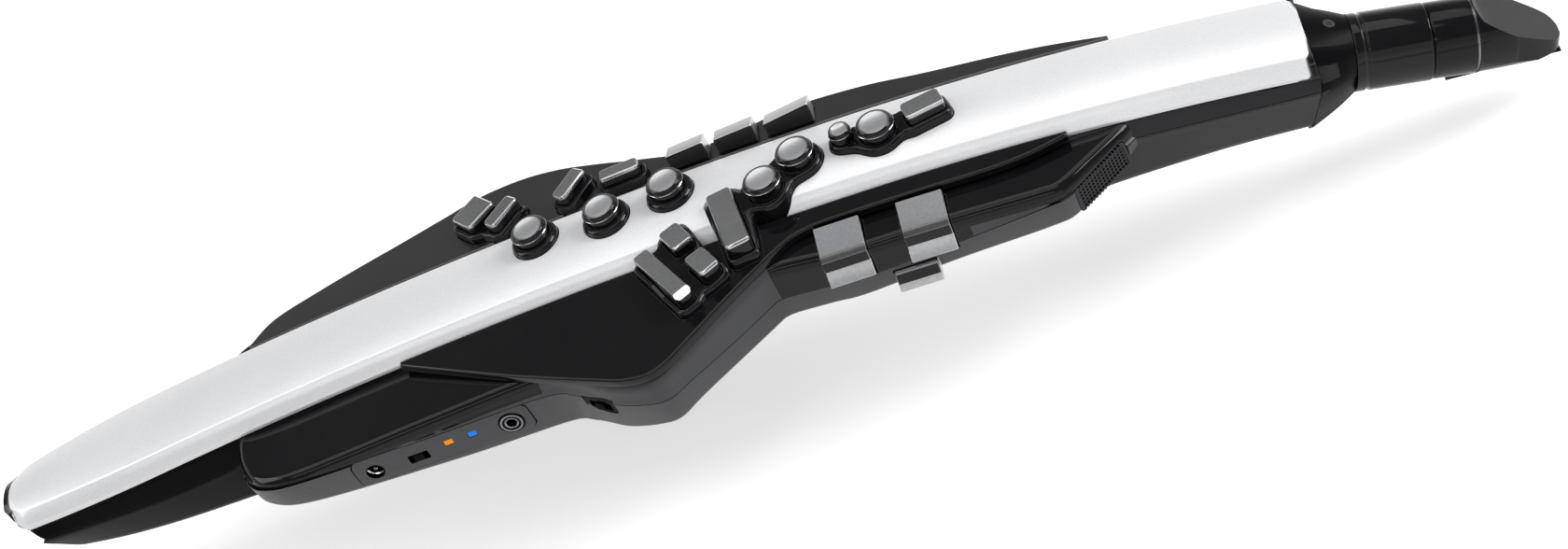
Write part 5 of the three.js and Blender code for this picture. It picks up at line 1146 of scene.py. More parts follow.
def lipHighlightAndDarkFace(piece, x, key):  # the flared lip is polished and gets a lighter copy of the side-key metal, a painted highlight; the short face above it gets the black gloss finish
    lip = toFrame([x, 0, frontZ(x) - key["lipTopDrop"]])[2] + faceTests["lipMargin"]
    face = toFrame([x, key["faceY"], 0])[1] + faceTests["faceMargin"]
    for side in piece.data.polygons:
        if side.center.z < lip:
            side.material_index = caseFinishes.index("sideLipHighlight")
        elif side.normal.y < faceTests["sideFront"] and side.center.y < face:
            side.material_index = caseFinishes.index("glossCase")


def makeSideKeys():
    high, low = sideKey, lowSideKey
    face = [(high["faceY"], -high["lipTopDrop"]), (high["faceY"], -high["faceDrop"]),
            (high["kneeY"], -high["kneeDrop"])]
    lowFace = [(low["lipY"] + low["edge"], -low["lipTopDrop"]), (low["faceY"], -low["topDrop"] - low["edge"]),
               (low["faceY"] + low["edge"], -low["topDrop"])]
    for keys, k, front, ease in ((sideKeys, high, face, 0.35), (lowSideKeys, low, lowFace, 0.3)):
        ring = roundedLoop([(k["backY"], -k["topDrop"]), (k["backY"], -k["footDrop"]), (k["footY"], -k["footDrop"]),
                            (k["lipY"], -k["lipDrop"])] + front, ease, 4)
        for name, x in keys:
            piece = solid(name + "Cap", barAlong(ring, k["length"], 0.3), onFace(x, 0), "sideMetal")
            lipHighlightAndDarkFace(piece, x, k)
            finished(piece, name, [name], "chrome", angle=30)


# Neck collar, tube, mouthpiece and reed
collar = {"startGap": 0.08, "slant": 10, "bendShare": 0.6, "bulgeShare": 0.04, "rings": 16, "easeIn": 0.015}
mouthpiece = {"start": 26.3, "end": 70.8, "radius": 12.9, "tipRadius": 11.6, "beakStart": 41.5, "tipTop": -3.4,
              "tipFoot": -6.6, "tableStart": 31, "tableDrop": 11.3, "boreRadius": 8.7, "boreEnd": 45.7,
              "chamberRadius": 5, "chamberEnd": 52.7, "slotWidth": 9, "slotHeight": 1.6, "tipHalf": 4.5,
              "cheekHalf": 9.2, "cheekShare": 0.72, "cheekSwell": 0.4, "ringWidth": 0.9, "ringDepth": 0.5,
              "stepRun": 2, "stepDrop": 2.3, "sides": 160, "chamberTaper": 3}
reed = {"start": 31.5, "end": 70.4, "heelThickness": 1.7, "tipThickness": 0.5, "tipOpening": 1.1, "width": 12.4,
        "scrapeFrom": 16}


def collarSlant(z):  # how far the joint between body and collar lies back at a height
    top = frontZ(body["neckX"]) - body["deckDrop"]
    return collar["slant"] * np.maximum(top - z, 0) / (top - backZ(body["neckX"]))


def slantTool(reach=40):
    top, x = frontZ(body["neckX"]) - body["deckDrop"], body["neckX"]
    low = top - reach
    return sidePrism([(x + reach, top), (x, top), (x - collarSlant(low), low), (x + reach, low)], farOut)


def collarLine(x):  # half profile where the collar meets the panel and the case
    line = panelLine(x)[:-1]
    seam, back = seamZ(x), backZ(x)
    half, wide = body["half"], body["half"] + body["flare"]
    lastZ = line[-1][1] + panel["foot"] - panel["edgeDrop"]
    line[-1] = (wide - body["flare"] / 2, (lastZ + seam) / 2)
    tail = [(wide, seam), (wide - 1, seam - body["shoulder"]), (half - body["tuckIn"], back + body["tuckUp"]),
            (half - body["rollIn"], back + body["rollUp"]), (half * body["backShare"], back), (0, back)]
    return line + tail


def makeCollar():
    startX = body["neckX"] + collar["startGap"]
    half = collarLine(startX)
    ring = mirrorRing(half)
    start = np.column_stack([startX - collarSlant(ring[:, 1]), ring])
    middle = (half[0][1] + half[-1][1]) / 2
    angle = np.arctan2(start[:, 1], start[:, 2] - middle)
    end = np.array([tubeFrame @ Vector((-math.cos(a) * tube["radius"], math.sin(a) * tube["radius"], 0))
                    for a in angle])
    rings = []
    for t in [0, 0.02] + list(np.linspace(0.06, 1, collar["rings"])):
        ring = start + (end - start) * t
        bulge = min(t / collar["bendShare"], (1 - t) / (1 - collar["bendShare"]))
        ring[:, 1] += start[:, 1] * collar["bulgeShare"] * math.sin(bulge * math.pi / 2)
        if t == 0:
            ring = start + ([startX, 0, middle] - start) * [0, collar["easeIn"], collar["easeIn"]]
        rings.append(ring)
    piece = solid("neckCollar", ringStack(rings, mirrorCap(len(half))), None, "satinCase")
    boolean(piece, [boreTool(), sinkTool(screwPlaces()[0])])
    finished(piece, "case", ["neck_collar"], "matt_case", angle=35)


def makeTube():
    t, r, start = tube, tube["radius"], gap
    groove, inner = start + t["grooveAt"], r - t["grooveDepth"]
    shoulder = start + t["length"]
    end = shoulder + t["tenonLength"]
    profile = rounded([(t["boreRadius"], start), (r, start), (r, groove), (inner, groove),
                       (inner, groove + t["grooveWidth"]), (r, groove + t["grooveWidth"]), (r, shoulder),
                       (t["tenonRadius"], shoulder), (t["tenonRadius"], end), (t["boreRadius"], end)], 0.4, 5)
    piece = solid("mouthpieceTube", turned([tuple(p) for p in profile], 128), tubeFrame, "glossCase")
    finished(piece, "case", ["mouthpiece_tube"], "gloss_case", angle=40)


def tubeSide(outline, width):  # outline of distance along the tube and height above its axis
    verts, faces = sidePrism([(along, up) for along, up in outline], width)
    return np.column_stack([-verts[:, 2], verts[:, 1], verts[:, 0]]), faces


def tubePlan(outline, height):  # outline of distance along the tube and place across it
    ring = np.asarray(outline, float)
    low = np.column_stack([np.full(len(ring), -height / 2), ring[:, 1], ring[:, 0]])
    return ringStack([low, low + [height, 0, 0]])


def tableUp(along):  # height of the reed's table above the tube's axis
    m = mouthpiece
    share = (along - m["tableStart"]) / (m["end"] - m["tableStart"])
    return -m["tableDrop"] + (m["tableDrop"] + m["tipFoot"]) * share


def makeMouthpiece():
    m, past = mouthpiece, through
    r, d, wide = m["radius"], m["ringDepth"], m["radius"] + past
    ring = m["beakStart"] - m["ringWidth"]
    profile = [(0, m["start"]), (r - d, m["start"]), (r - 0.1, m["start"] + 0.5), (r, m["start"] + m["ringWidth"]),
               (r, ring), (r - d, ring + 0.1), (r - d, m["beakStart"] - 0.1), (r, m["beakStart"]),
               (m["tipRadius"], m["end"] + past), (0, m["end"] + past)]
    # the groove floor before the beak gets dim metal, a painted highlight line on the resin
    slots = bandSlots(["resin"] * 5 + ["sideMetal"] + ["resin"] * 3, m["sides"])
    piece = solid("mouthpieceBody", turned(profile, m["sides"]), tubeFrame, slots)
    side = [(m["start"] - past, wide), (m["beakStart"], wide), (m["beakStart"], r),
            (m["beakStart"] + m["stepRun"], r - m["stepDrop"]), (m["end"], m["tipTop"]),
            (m["end"], m["tipFoot"]), (m["tableStart"], -m["tableDrop"]),
            (m["start"] - past, -m["tableDrop"] - past)]
    cheek = m["beakStart"] + (m["end"] - m["beakStart"]) * m["cheekShare"]
    middle = ((m["beakStart"] + cheek) / 2, (r + m["cheekHalf"]) / 2 + m["cheekSwell"])
    flank = smoothLine([(m["beakStart"], r), middle, (cheek, m["cheekHalf"]),
                        (m["end"] - m["tipHalf"] / 2, m["cheekHalf"] * m["cheekShare"]),
                        (m["end"], m["tipHalf"] / 2)], 30)
    outline = [(m["start"] - past, -wide), (m["beakStart"] - 0.01, -wide)] + [(x, -y) for x, y in flank]
    outline += [(x, y) for x, y in flank[::-1]] + [(m["beakStart"] - 0.01, wide), (m["start"] - past, wide)]
    boolean(piece, [solid("side", tubeSide(side, 2 * wide), tubeFrame, "grilleCase"),
                    solid("plan", tubePlan(outline, 2 * wide), tubeFrame, "resin")], "INTERSECT")
    bore = turned([(0, m["start"] - past), (m["boreRadius"], m["start"] - past), (m["boreRadius"], m["boreEnd"]),
                   (m["chamberRadius"], m["boreEnd"] + m["chamberTaper"]), (m["chamberRadius"], m["chamberEnd"]),
                   (0, m["chamberEnd"])], 64)
    up, half = (m["tipTop"] + m["tipFoot"]) / 2, m["slotHeight"] / 2
    slot = [(m["chamberEnd"] - past, up + half), (m["end"] + past, up + half), (m["end"] + past, up - half),
            (m["chamberEnd"] - past, up - half)]
    boolean(piece, [solid("bore", bore, tubeFrame), solid("slot", tubeSide(slot, m["slotWidth"]), tubeFrame)])
    finished(piece, "mouthpiece", ["mouthpiece"], "resin", angle=28)


def makeReed():
    heel = tableUp(reed["start"]) - gap
    tip = tableUp(reed["end"]) - reed["tipOpening"]
    outline = roundedLoop([(reed["start"], heel), (reed["end"], tip), (reed["end"], tip - reed["tipThickness"]),
                           (reed["start"] + reed["scrapeFrom"], (heel + tip) / 2 - reed["heelThickness"] * 0.9),
                           (reed["start"], heel - reed["heelThickness"])], 0.25, 4)
    piece = solid("reedBlade", tubeSide(outline, reed["width"]), tubeFrame, "resin")
    finished(piece, "reed", ["reed"], "resin", angle=28)


# Geometry Nodes: each tree repeats one small shape, in mm, and its result becomes a plain mesh
def repeatTree(name, inputs):
    inputs = [("Geometry", "Geometry", None), *inputs, ("Material", "Material", None)]
    return newTree("GeometryNodeTree", name, inputs, [("Geometry", "Geometry")])


def eachPoint(tree, given, result, **inputs):  # copies on points, made real, with their material
    copies = treeNode(tree, "GeometryNodeInstanceOnPoints", **inputs)
    real = treeNode(tree, "GeometryNodeRealizeInstances", Geometry=copies.outputs[0])
    done = treeNode(tree, "GeometryNodeSetMaterial", Geometry=real.outputs[0], Material=given["Material"])
    tree.links.new(done.outputs[0], result[0])
    return tree


def holeTree():  # a field of pins in even rows, for cutting round holes
    tree, given, result = repeatTree("holeRows", [("Columns", "Int", 14), ("Rows", "Int", 8), ("Pitch", "Float", 1.6),
                                                  ("Radius", "Float", 0.5), ("Depth", "Float", 4)])
    wide, high = (sums(tree, "MULTIPLY", sums(tree, "SUBTRACT", given[k], 1.0), given["Pitch"])
                  for k in ("Columns", "Rows"))
    grid = treeNode(tree, "GeometryNodeMeshGrid", Size_X=wide, Size_Y=high, Vertices_X=given["Columns"],
                    Vertices_Y=given["Rows"])
    pin = treeNode(tree, "GeometryNodeMeshCylinder", Vertices=12, Radius=given["Radius"], Depth=given["Depth"])
    return eachPoint(tree, given, result, Points=grid.outputs[0], Instance=pin.outputs[0])


def ribTree():  # a row of half-round ribs
    tree, given, result = repeatTree("ribRow", [("Count", "Int", 4), ("Pitch", "Float", 0.8), ("Width", "Float", 2.4),
                                                ("Radius", "Float", 0.22)])
    middle = addNode(tree, "Math", {"operation": "MULTIPLY_ADD"}, n0=given["Count"], n1=-0.5, n2=0.5).outputs[0]
    first = addNode(tree, "CombineXYZ", X=sums(tree, "MULTIPLY", given["Pitch"], middle)).outputs[0]
    step = addNode(tree, "CombineXYZ", X=given["Pitch"]).outputs[0]
    line = treeNode(tree, "GeometryNodeMeshLine", Count=given["Count"], Offset=step, Start_Location=first)
    rod = treeNode(tree, "GeometryNodeMeshCylinder", Vertices=12, Radius=given["Radius"], Depth=given["Width"])
    return eachPoint(tree, given, result, Points=line.outputs[0], Instance=rod.outputs[0],
                     Rotation=(math.pi / 2, 0, 0))


def dotTree():  # soft grip dots that fill a disc
    tree, given, result = repeatTree("gripDots", [("Reach", "Float", 6), ("Pitch", "Float", 1.7),
                                                  ("Radius", "Float", 0.5)])
    grid = treeNode(tree, "GeometryNodeMeshGrid", Size_X=16.0, Size_Y=16.0, Vertices_X=11, Vertices_Y=11)
    size = sums(tree, "DIVIDE", given["Pitch"], 1.6)
    near = treeNode(tree, "GeometryNodeTransform", Geometry=grid.outputs[0],
                    Scale=addNode(tree, "CombineXYZ", X=size, Y=size, Z=1.0).outputs[0])
    away = addNode(tree, "VectorMath", {"operation": "LENGTH"},
                   n0=treeNode(tree, "GeometryNodeInputPosition").outputs[0])
    past = sums(tree, "GREATER_THAN", away.outputs["Value"], given["Reach"])
    kept = treeNode(tree, "GeometryNodeDeleteGeometry", Geometry=near.outputs[0], Selection=past)
    dome = treeNode(tree, "GeometryNodeMeshUVSphere", Segments=10, Rings=6, Radius=given["Radius"])
    return eachPoint(tree, given, result, Points=kept.outputs[0], Instance=dome.outputs[0], Scale=(1, 1, 0.45))


def copyTree():  # copies of one part at given points, each facing the way its point says and turned at random
    tree, given, result = repeatTree("placedParts", [("Part", "Object", None), ("Turn", "Float", 3.0),
                                                     ("Seed", "Int", 4)])
    facing = treeNode(tree, "GeometryNodeInputNamedAttribute", {"data_type": "FLOAT_VECTOR"}, Name="facing")
    along = treeNode(tree, "FunctionNodeAlignRotationToVector", {"axis": "Z"}, Vector=facing.outputs[0])
    turn = treeNode(tree, "FunctionNodeRandomValue", {"data_type": "FLOAT"}, n2=0.0, n3=given["Turn"],
                    Seed=given["Seed"])
    spin = addNode(tree, "CombineXYZ", Z=turn.outputs[1])
    local = treeNode(tree, "FunctionNodeRotateRotation", {"rotation_space": "LOCAL"}, n0=along.outputs[0],
                     n1=spin.outputs[0])
    part = treeNode(tree, "GeometryNodeObjectInfo", Object=given["Part"])
    return eachPoint(tree, given, result, Points=given["Geometry"], Instance=part.outputs["Geometry"],
                     Rotation=local.outputs[0])


trees = {"holes": holeTree(), "ribs": ribTree(), "dots": dotTree(), "copies": copyTree()}
toMetres = Matrix.Scale(origin["mm"], 4) @ Matrix.Translation(shift)


def repeated(name, tree, values, matrix=Matrix(), points=None, finish="satinCase"):  # a tree's result, as a mesh
    mesh = bpy.data.meshes.new(name)
    mesh.from_pydata([p for p, _ in points or []], [], [])
    if points:
        facing = mesh.attributes.new("facing", "FLOAT_VECTOR", "POINT")
        facing.data.foreach_set("vector", [v for _, out in points for v in out])
    holder = bpy.data.objects.new(name, mesh)
    bpy.context.collection.objects.link(holder)
    nodes = holder.modifiers.new("repeat", "NODES")
    nodes.node_group = trees[tree]
    values = {**values, "Material": finishes[finish]}
    for item in trees[tree].interface.items_tree:
        if item.in_out == "INPUT" and item.name in values:
            nodes[item.identifier] = values[item.name]
    depsgraph = bpy.context.evaluated_depsgraph_get()
    result = bpy.data.meshes.new_from_object(holder.evaluated_get(depsgraph))
    holder.modifiers.clear()
    holder.data = result
    bpy.data.meshes.remove(mesh)
    result.transform(toMetres @ matrix)
    smoothBy(result, 40)
    return holder


def slab(ring, low, high, edge=0.3, finish="satinCase", name="slab", matrix=None):  # with eased edges
    levels = [(edge * 0.4, low), (0, low + edge * 0.4), (0, high - edge), (edge * 0.12, high - edge * 0.55),
              (edge * 0.45, high - edge * 0.15), (edge, high)]
    return solid(name, blockOf(ring, levels), matrix, finish)


def at(matrix, x, y, z=0.0):  # the same frame, moved along its own axes
    return matrix @ Matrix.Translation((x, y, z))


# Port panel with its inlet, power slide, lamps and phones jack, and the control slide
portPieces = {"inletX": -26, "inletY": -0.6, "inletHole": 3.3, "slideX": -9.6, "slideY": -1, "slotLength": 7.6,
              "slotHeight": 3.8, "slotCorner": 0.5, "knob": 3.4, "knobCorner": 0.35, "knobRoom": 0.6, "lampY": 0.8,
              "amberX": 2.4, "blueX": 11.4, "lampLength": 3.2, "lampHeight": 2.2, "lampCorner": 0.4,
              "lampDepth": 1.6, "phonesX": 25.5, "phonesY": -0.4, "phonesRadius": 4.4}
inletProfile = [(0, -14.2), (4.5, -14.2), (4.5, -2.3), (3.5, -2.3), (3.2, -2.6), (3.2, -12.4), (1, -12.4),
                (0.95, -7.9), (0.7, -7.4), (0, -7.3)]
inletBands = ["satinCase"] * 3 + ["chrome"] * 2 + ["satinCase"] + ["chrome"] * 3
phonesProfile = [(0, -11.3), (4.4, -11.3), (4.4, 0.1), (4.25, 0.32), (3.95, 0.4), (3.3, 0.4), (3.1, 0.25),
                 (2.9, 0.05), (2.5, 0.05), (2.4, 0.3), (2.1, 0.36), (1.85, 0.15), (1.8, -0.3), (1.8, -10.2),
                 (0, -10.2)]
phonesBands = ["satinCase"] * 4 + ["sideMetal"] + ["satinCase"] * 3 + ["sideMetal"] * 4 + ["satinCase"] * 2
powerKnob = {"low": -2.4, "high": 0.35, "ribsUp": 0.33,
             "ribs": {"Count": 4, "Pitch": 0.75, "Width": 2.5, "Radius": 0.26}}
controlKnob = {"low": -3.2, "high": 0, "ribsUp": 0.0,
               "ribs": {"Count": 4, "Pitch": 0.8, "Width": 2.3, "Radius": 0.22}}


def makeKnob(name, node, knob, length, height, place):  # a slide's knob with its ribs
    ring = roundedRect(length, height - portPieces["knobRoom"], portPieces["knobCorner"])
    finished(slab(ring, knob["low"], knob["high"], 0.25, name=name, matrix=place), node, [node], "gloss_case")
    ribs = repeated(name + "Ribs", "ribs", knob["ribs"], at(place, 0, 0, knob["ribsUp"]))
    finished(ribs, node, [], "gloss_case")


def makePortPieces():
    v = portPieces
    inlet, phones = at(portFrame, v["inletX"], v["inletY"]), at(portFrame, v["phonesX"], v["phonesY"])
    slide = at(portFrame, v["slideX"], v["slideY"])
    lamps = [("power_lamp", at(portFrame, v["amberX"], v["lampY"]), "amber", "amber_lens"),
             ("wireless_lamp", at(portFrame, v["blueX"], v["lampY"]), "blue", "blue_lens")]
    holes = [(drumOf(v["inletHole"], sides=64), inlet), (drumOf(v["phonesRadius"] + gap, sides=64), phones),
             (slabOf(roundedRect(v["slotLength"], v["slotHeight"], v["slotCorner"])), slide)]
    holes += [(slabOf(roundedRect(v["lampLength"] + gap, v["lampHeight"] + gap, v["lampCorner"])), lamp[1])
              for lamp in lamps]
    ring = roundedRect(port["length"], port["height"], port["corner"])
    piece = slab(ring, -port["thickness"], 0, 0.35, "grainCase", "portPanel", portFrame)
    boolean(piece, [solid("hole", shape, matrix, "satinCase") for shape, matrix in holes])
    finished(piece, "case", ["port_panel"], "matt_case")
    piece = solid("powerInlet", turned(inletProfile, 64), inlet, bandSlots(inletBands, 64))
    finished(piece, "case", ["power_inlet"], "matt_case")
    piece = solid("phonesJack", turned(phonesProfile, 72), phones, bandSlots(phonesBands, 72), 45)
    finished(piece, "case", ["phones_jack"], "matt_case")
    ring = roundedRect(v["lampLength"], v["lampHeight"], v["lampCorner"])
    for name, matrix, finish, slot in lamps:
        lens = slab(ring, -v["lampDepth"], 0, 0.2, name=name + "Lens", matrix=matrix)
        finished(lens, "case", [name], slot, finish)
    makeKnob("powerKnob", "power_slide", powerKnob, v["knob"], v["slotHeight"], slide)
    makeKnob("controlKnob", "control_slide", controlKnob, control["knobLength"], control["slotHeight"],
             at(controlFrame, 0, -control["slotDrop"]))


# Speaker plate: a raised rounded frame round rows of fine holes
speaker = {"frame": 1.35, "floor": 0.45,
           "holes": {"Columns": 15, "Rows": 8, "Pitch": 1.43, "Radius": 0.52, "Depth": 9.0}}


def makeSpeakerPlate():
    top, f, floor = -grille["sunk"], speaker["frame"], -grille["sunk"] - speaker["floor"]
    ring = roundedRect(grille["length"], grilleHeight, grille["corner"])
    levels = [(0, top - grille["thickness"]), (0, top - 0.3), (0.1, top - 0.1), (0.3, top), (f - 0.2, top),
              (f, top - 0.1), (f + 0.1, floor + 0.1), (f + 0.2, floor)]
    piece = solid("speakerPlate", blockOf(ring, levels), grilleFrame, "grilleCase", 35)
    pins = repeated("pins", "holes", speaker["holes"], grilleFrame)
    boolean(piece, [pins])
    finished(piece, "case", ["speaker_grille"], "matt_case", "grilleCase", 35)


# Back: thumb hook, strap ring, octave keys, thumb rest and pad, display and its buttons
hook = {"x": 236, "plate": 28, "height": 31.2, "arm": 4.2, "reach": 19, "lip": 3.2, "width": 15, "plateThick": 2.6,
        "edge": 0.4}
strapRing = {"x": 300, "half": 6.85, "straight": 4.5, "thick": 1.45, "thin": 0.95, "depth": 1.4, "foot": 1,
             "corner": [(0, 1.9), (0.25, 1.25), (0.9, 1)]}


def bentLine(a, b, c, steps):  # points on a curve from a to c that is pulled towards b
    return [tuple((1 - t)**2 * np.array(a) + 2 * t * (1 - t) * np.array(b) + t * t * np.array(c))
            for t in np.linspace(0, 1, steps + 1)[1:]]


def acrossBody(matrix):  # plane of along and out of the back, thickness across the body
    return matrix @ Matrix(((1, 0, 0, 0), (0, 0, -1, 0), (0, 1, 0, 0), (0, 0, 0, 1)))


def makeHook():
    half, top, arm, edge = hook["plate"] / 2, gap + hook["plateThick"], hook["arm"], hook["edge"]
    high, reach = hook["height"], hook["reach"]
    start = (-half + 2 * arm, top)
    inner = bentLine(start, (-half + arm, high / 2), (0, high - arm), 14)
    tip = bentLine((0, high - arm), (reach / 2, high - arm / 2), (reach, high - arm - hook["lip"]), 10)
    outer = bentLine((reach + arm / 2, high - arm), (reach / 2, high + arm / 2), (-arm, high - arm / 2), 12)
    back = bentLine((-arm, high - arm / 2), (-half, high / 2), (-half + arm, top), 14)
    outline = [(half, gap), (half, top - edge), (half - edge, top), start] + inner + tip
    outline += [(reach + arm / 2, high - arm)] + outer + back
    outline += [(-half + edge, top), (-half, top - edge), (-half, gap)]
    wide = hook["width"] / 2
    levels = [(0.5, -wide), (0.15, -wide + 0.15), (0, -wide + 0.5), (0, wide - 0.5), (0.15, wide - 0.15), (0.5, wide)]
    piece = solid("thumbHook", blockOf(np.array(outline), levels), acrossBody(onBack(hook["x"])), "satinCase", 40)
    finished(piece, "case", ["thumb_hook"], "matt_case", angle=40)


def makeRing():  # a wire of oval section round a half circle and a straight foot
    v, mid = strapRing, strapRing["half"]
    path = [(mid * math.cos(a), v["straight"] + mid * math.sin(a)) for a in np.linspace(0, math.pi, 33)]
    path += [(-mid + x, gap + up) for x, up in v["corner"]]
    path += [(x, gap + v["foot"]) for x in np.linspace(-mid + 2, mid - 2, 7)]
    path += [(mid - x, gap + up) for x, up in v["corner"][::-1]]
    path = np.array(path)
    ahead = np.roll(path, -1, 0) - np.roll(path, 1, 0)
    ahead /= np.linalg.norm(ahead, axis=1)[:, None]
    side = np.column_stack([ahead[:, 1], -ahead[:, 0]])
    turns = np.linspace(0, 2 * math.pi, 20, endpoint=False)
    verts, faces, n = [], [], len(turns)
    for p, out in zip(path, side):
        thick = v["thin"] if p[1] < gap + 1.6 else v["thick"]
        verts += [(*(p + out * math.cos(a) * thick), v["depth"] * math.sin(a)) for a in turns]
    for i in range(len(path)):
        for j in range(n):
            k, m = (j + 1) % n, (i + 1) % len(path)
            faces.append((i * n + j, i * n + k, m * n + k, m * n + j))
    piece = solid("strapRing", (np.array(verts), faces), acrossBody(onBack(v["x"])), "chrome", 60)
    finished(piece, "case", ["strap_ring"], "chrome", "chrome", 60)


def makeBackPieces():
    makeHook()
    makeRing()
    b = backItems
    ring = roundedRect(b["octaveSize"], b["octaveSize"], b["octaveCorner"])
    levels = [(0, -4), (0, 1.6), (0.1, 2), (0.35, 2.35), (0.8, 2.5), (1.6, 2.56), (3, 2.58), (4.5, 2.5)]
    slots = bandSlots(["glossCase"] * 2 + ["keyCap"] * 5, len(ring)) + [0, caseFinishes.index("keyCap")]
    for name, x in zip(("octave_down_key", "octave_up_key"), b["octaveX"]):
        finished(solid(name + "Cap", blockOf(ring, levels), onBack(x), slots), name, [name], "key_cap")
    rest, pad = b["restRadius"], b["padRadius"]
    shape = turned([(0, -3), (rest, -3), (rest, 1.2), (rest - 0.15, 1.6), (rest - 0.6, 1.8), (rest - 1.2, 1.7),
                    (rest - 2.4, 1.35), (rest * 0.4, 1.15), (0, 1.1)], 96)
    finished(solid("thumbRestBody", shape, onBack(b["restX"])), "case", ["thumb_rest"], "rubber", "rubber", 40)
    dots = repeated("thumbRestDots", "dots", b["dots"], at(onBack(b["restX"]), 0, 0, 1.2), finish="rubber")
    finished(dots, "case", [], "rubber")
    shape = turned([(0, -3), (pad, -3), (pad, 2.1), (pad - 0.15, 2.6), (pad - 0.6, 2.95), (pad - 1.6, 3.25),
                    (pad * 0.45, 3.6), (0, 3.75)], 96)
    finished(solid("thumbPadBody", shape, onBack(b["padX"])), "thumb_pad", ["thumb_pad"], "rubber", "rubber", 40)
    ring = roundedRect(b["displayLength"], b["displayWidth"], b["displayCorner"])
    window = slab(ring, -1.8, 0.2, 0.3, name="displayWindow", matrix=onBack(b["displayX"]))
    finished(window, "case", ["display_window"], "display_glass", "glass")
    r = b["buttonRadius"]
    shape = turned([(0, -3), (r, -3), (r, 0.45), (r - 0.12, 0.7), (r - 0.45, 0.85), (r * 0.4, 0.9), (0, 0.9)], 48)
    for name, x in zip(("menu_minus_button", "menu_plus_button"), b["buttonX"]):
        finished(solid(name + "Cap", shape, onBack(x)), name, [name], "gloss_case", "glossCase", 40)


# Countersunk screws with a cross recess: one in the neck collar, two in the hook, the rest along the back
screw = {"radius": 2.1, "rim": 0.12, "depth": 1.3, "arm": 1.25, "armWidth": 0.42, "recess": 0.8, "sunk": 0.15,
         "seatDepth": 1.5, "room": 0.25, "turn": 3.0, "seed": 4,
         "collar": {"x": 500.5, "z": -25.75, "tilt": 26.7}, "hookX": 227, "hookY": (-4, 4), "proud": 0.25,
         "back": [(30, 0), (284, 7), (284, -7), (386, 7), (386, -7), (470, 6), (470, -6)]}


def screwPlaces():
    neck = screw["collar"]
    collarPlace = Matrix.Translation((neck["x"], 0, neck["z"])) @ Matrix.Rotation(math.radians(neck["tilt"]), 4, "Y")
    back = [at(onBack(x), 0, y) for x, y in screw["back"]]
    high = gap + hook["plateThick"] + screw["proud"]
    return collarPlace, back, [at(onBack(screw["hookX"]), 0, y, high) for y in screw["hookY"]]


def sinkTool(matrix):
    r, wide, deep = screw["radius"], screw["radius"] + screw["room"], screw["seatDepth"]
    shape = turned([(0, -deep), (r * 0.6, -deep), (wide, -screw["sunk"]), (wide, 3), (0, 3)], 48)
    return solid("sink", shape, matrix, "satinCase")


def makeScrews():
    v, r, deep = screw, screw["radius"], screw["depth"]
    head = solid("screwHead", turned([(0, -deep), (r * 0.45, -deep), (r, -v["rim"]), (r - 0.05, 0), (0, 0)], 24))
    for a, b in ((v["arm"], v["armWidth"] / 2), (v["armWidth"] / 2, v["arm"])):  # the two arms of the recess
        boolean(head, [solid("arm", blockOf(roundedRect(2 * a, 2 * b, 0.1, 2), [(0.14, -v["recess"]), (0, 1)]))])
    head.data.transform(Matrix.Translation(-shift) @ Matrix.Scale(1 / origin["mm"], 4))
    collarPlace, back, onHook = screwPlaces()
    places = [at(p, 0, 0, -v["sunk"]) for p in [collarPlace] + back] + onHook
    points = [(tuple(p.translation), tuple(p.to_3x3() @ Vector((0, 0, 1)))) for p in places]
    values = {"Part": head, "Turn": v["turn"], "Seed": v["seed"]}
    screws = repeated("caseScrews", "copies", values, points=points, finish="sideMetal")
    bpy.data.objects.remove(head)
    finished(screws, "case", [], "matt_case")


# Inner pieces keep their CAD shapes and get their own finishes
innerFinish = {"speaker": "satinCase", "battery_holder": "grainCase", "main_board": "board",
               "breath_sensor": "satinCase", "air_tube": "rubber"}


def makeInside():
    cells = {f"cell_{row}_{column}": "cell" for row in (1, 2, 3) for column in (1, 2)}
    for node, finish in {**innerFinish, **cells}.items():
        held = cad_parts[node]
        for heldSlot in held.material_slots:
            heldSlot.material = finishes[finish]
        if not held.material_slots:
            held.data.materials.append(finishes[finish])


# Studio: a pale floor, a world that is white at the horizon and dim above, and six soft lamps
stage = {"floorSize": 9, "floorColor": 0.62, "floorRough": 0.9, "cameraGlow": 0.6, "skyLow": 0.9, "skyHigh": 0.26,
         "skyBend": 0.45,  # each lamp: name, place, aim, size and power
         "lamps": [("overhead", (-0.1, 0.35, 1.3), (0, 0, 0), (2.2, 0.8), 9),
                   ("left", (-1.7, 0.1, 1.15), (0, 0, 0), (0.9, 1.1), 10),
                   ("right", (1.7, 0.2, 1.15), (0, 0, 0), (0.9, 1.1), 33),
                   ("front", (0.1, -1.7, 0.62), (0, 0, 0.05), (2.6, 0.9), 5),
                   ("facets", (0.15, -0.3, 1.25), (0, 0, 0.05), (0.9, 0.3), 1.4),
                   ("roll", (-0.34, -1.04, 1.17), (0, 0, 0.05), (1.7, 0.16), 2.2)]}


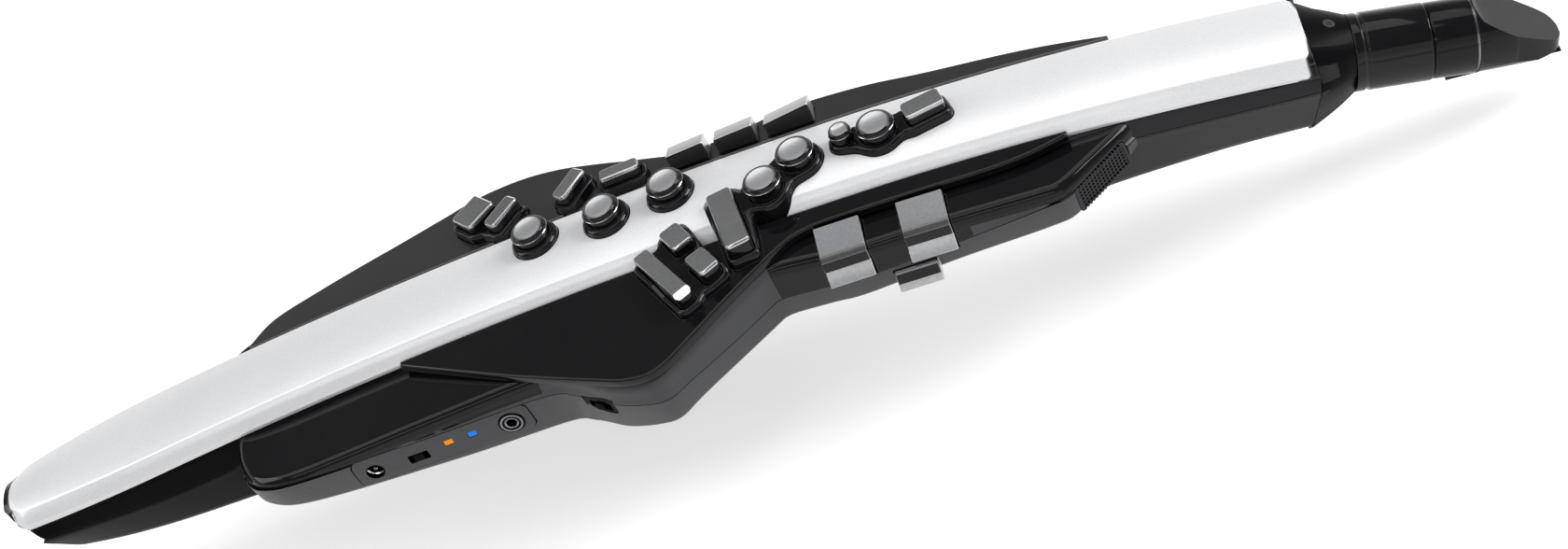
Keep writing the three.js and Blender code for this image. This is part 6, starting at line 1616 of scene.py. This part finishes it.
def makeStage():
    reach = stage["floorSize"]
    mesh = bpy.data.meshes.new("floor")
    mesh.from_pydata([(-reach, -reach, 0), (reach, -reach, 0), (reach, reach, 0), (-reach, reach, 0)], [],
                     [(0, 1, 2, 3)])
    floor = bpy.data.objects.new("floor", mesh)
    bpy.context.collection.objects.link(floor)
    material = bpy.data.materials.new("floorPaper")
    material.use_nodes = True
    tree = material.node_tree
    shader = tree.nodes["Principled BSDF"]
    shader.inputs["Base Color"].default_value = (*[stage["floorColor"]] * 3, 1)
    shader.inputs["Roughness"].default_value = stage["floorRough"]
    shader.inputs["Emission Color"].default_value = (1, 1, 1, 1)
    seen = addNode(tree, "LightPath")
    direct = sums(tree, "MAXIMUM", seen.outputs["Is Camera Ray"], seen.outputs["Is Glossy Ray"])
    direct = sums(tree, "MAXIMUM", direct, seen.outputs["Is Transmission Ray"])
    tree.links.new(sums(tree, "MULTIPLY", direct, stage["cameraGlow"]), shader.inputs["Emission Strength"])
    mesh.materials.append(material)
    world = bpy.data.worlds.new("world")
    world.use_nodes = True
    tree = world.node_tree
    up = addNode(tree, "SeparateXYZ", n0=addNode(tree, "TexCoord").outputs["Generated"]).outputs["Z"]
    sky = addNode(tree, "MapRange", {"interpolation_type": "SMOOTHSTEP"}, n0=up, n1=0.0, n2=stage["skyBend"],
                  n3=stage["skyLow"], n4=stage["skyHigh"])
    tree.links.new(sky.outputs[0], tree.nodes["Background"].inputs["Strength"])
    tree.nodes["Background"].inputs["Color"].default_value = (1, 1, 1, 1)
    bpy.context.scene.world = world
    for name, spot, aim, size, power in stage["lamps"]:
        light = bpy.data.lights.new(name, "AREA")
        light.shape = "RECTANGLE"
        light.size, light.size_y = size
        light.energy = power
        lamp = bpy.data.objects.new(name, light)
        lamp.location = spot
        lamp.rotation_euler = (Vector(aim) - Vector(spot)).to_track_quat("-Z", "Y").to_euler()
        bpy.context.collection.objects.link(lamp)


makeCamera()
for label, steps in (("case halves", (makeCase,)), ("panel and plates", (makePlates,)),
                     ("keys", (makeRoundKeys, makeBarKeys, makePalmKeys, makeSideKeys)),
                     ("neck and mouthpiece", (makeCollar, makeTube, makeMouthpiece, makeReed)),
                     ("port and back", (makePortPieces, makeSpeakerPlate, makeBackPieces, makeScrews)),
                     ("inner pieces and studio", (makeInside, makeStage))):
    for step in steps:
        step()
    print("stage:", label)
bpy.context.scene.view_settings.view_transform = "Standard"
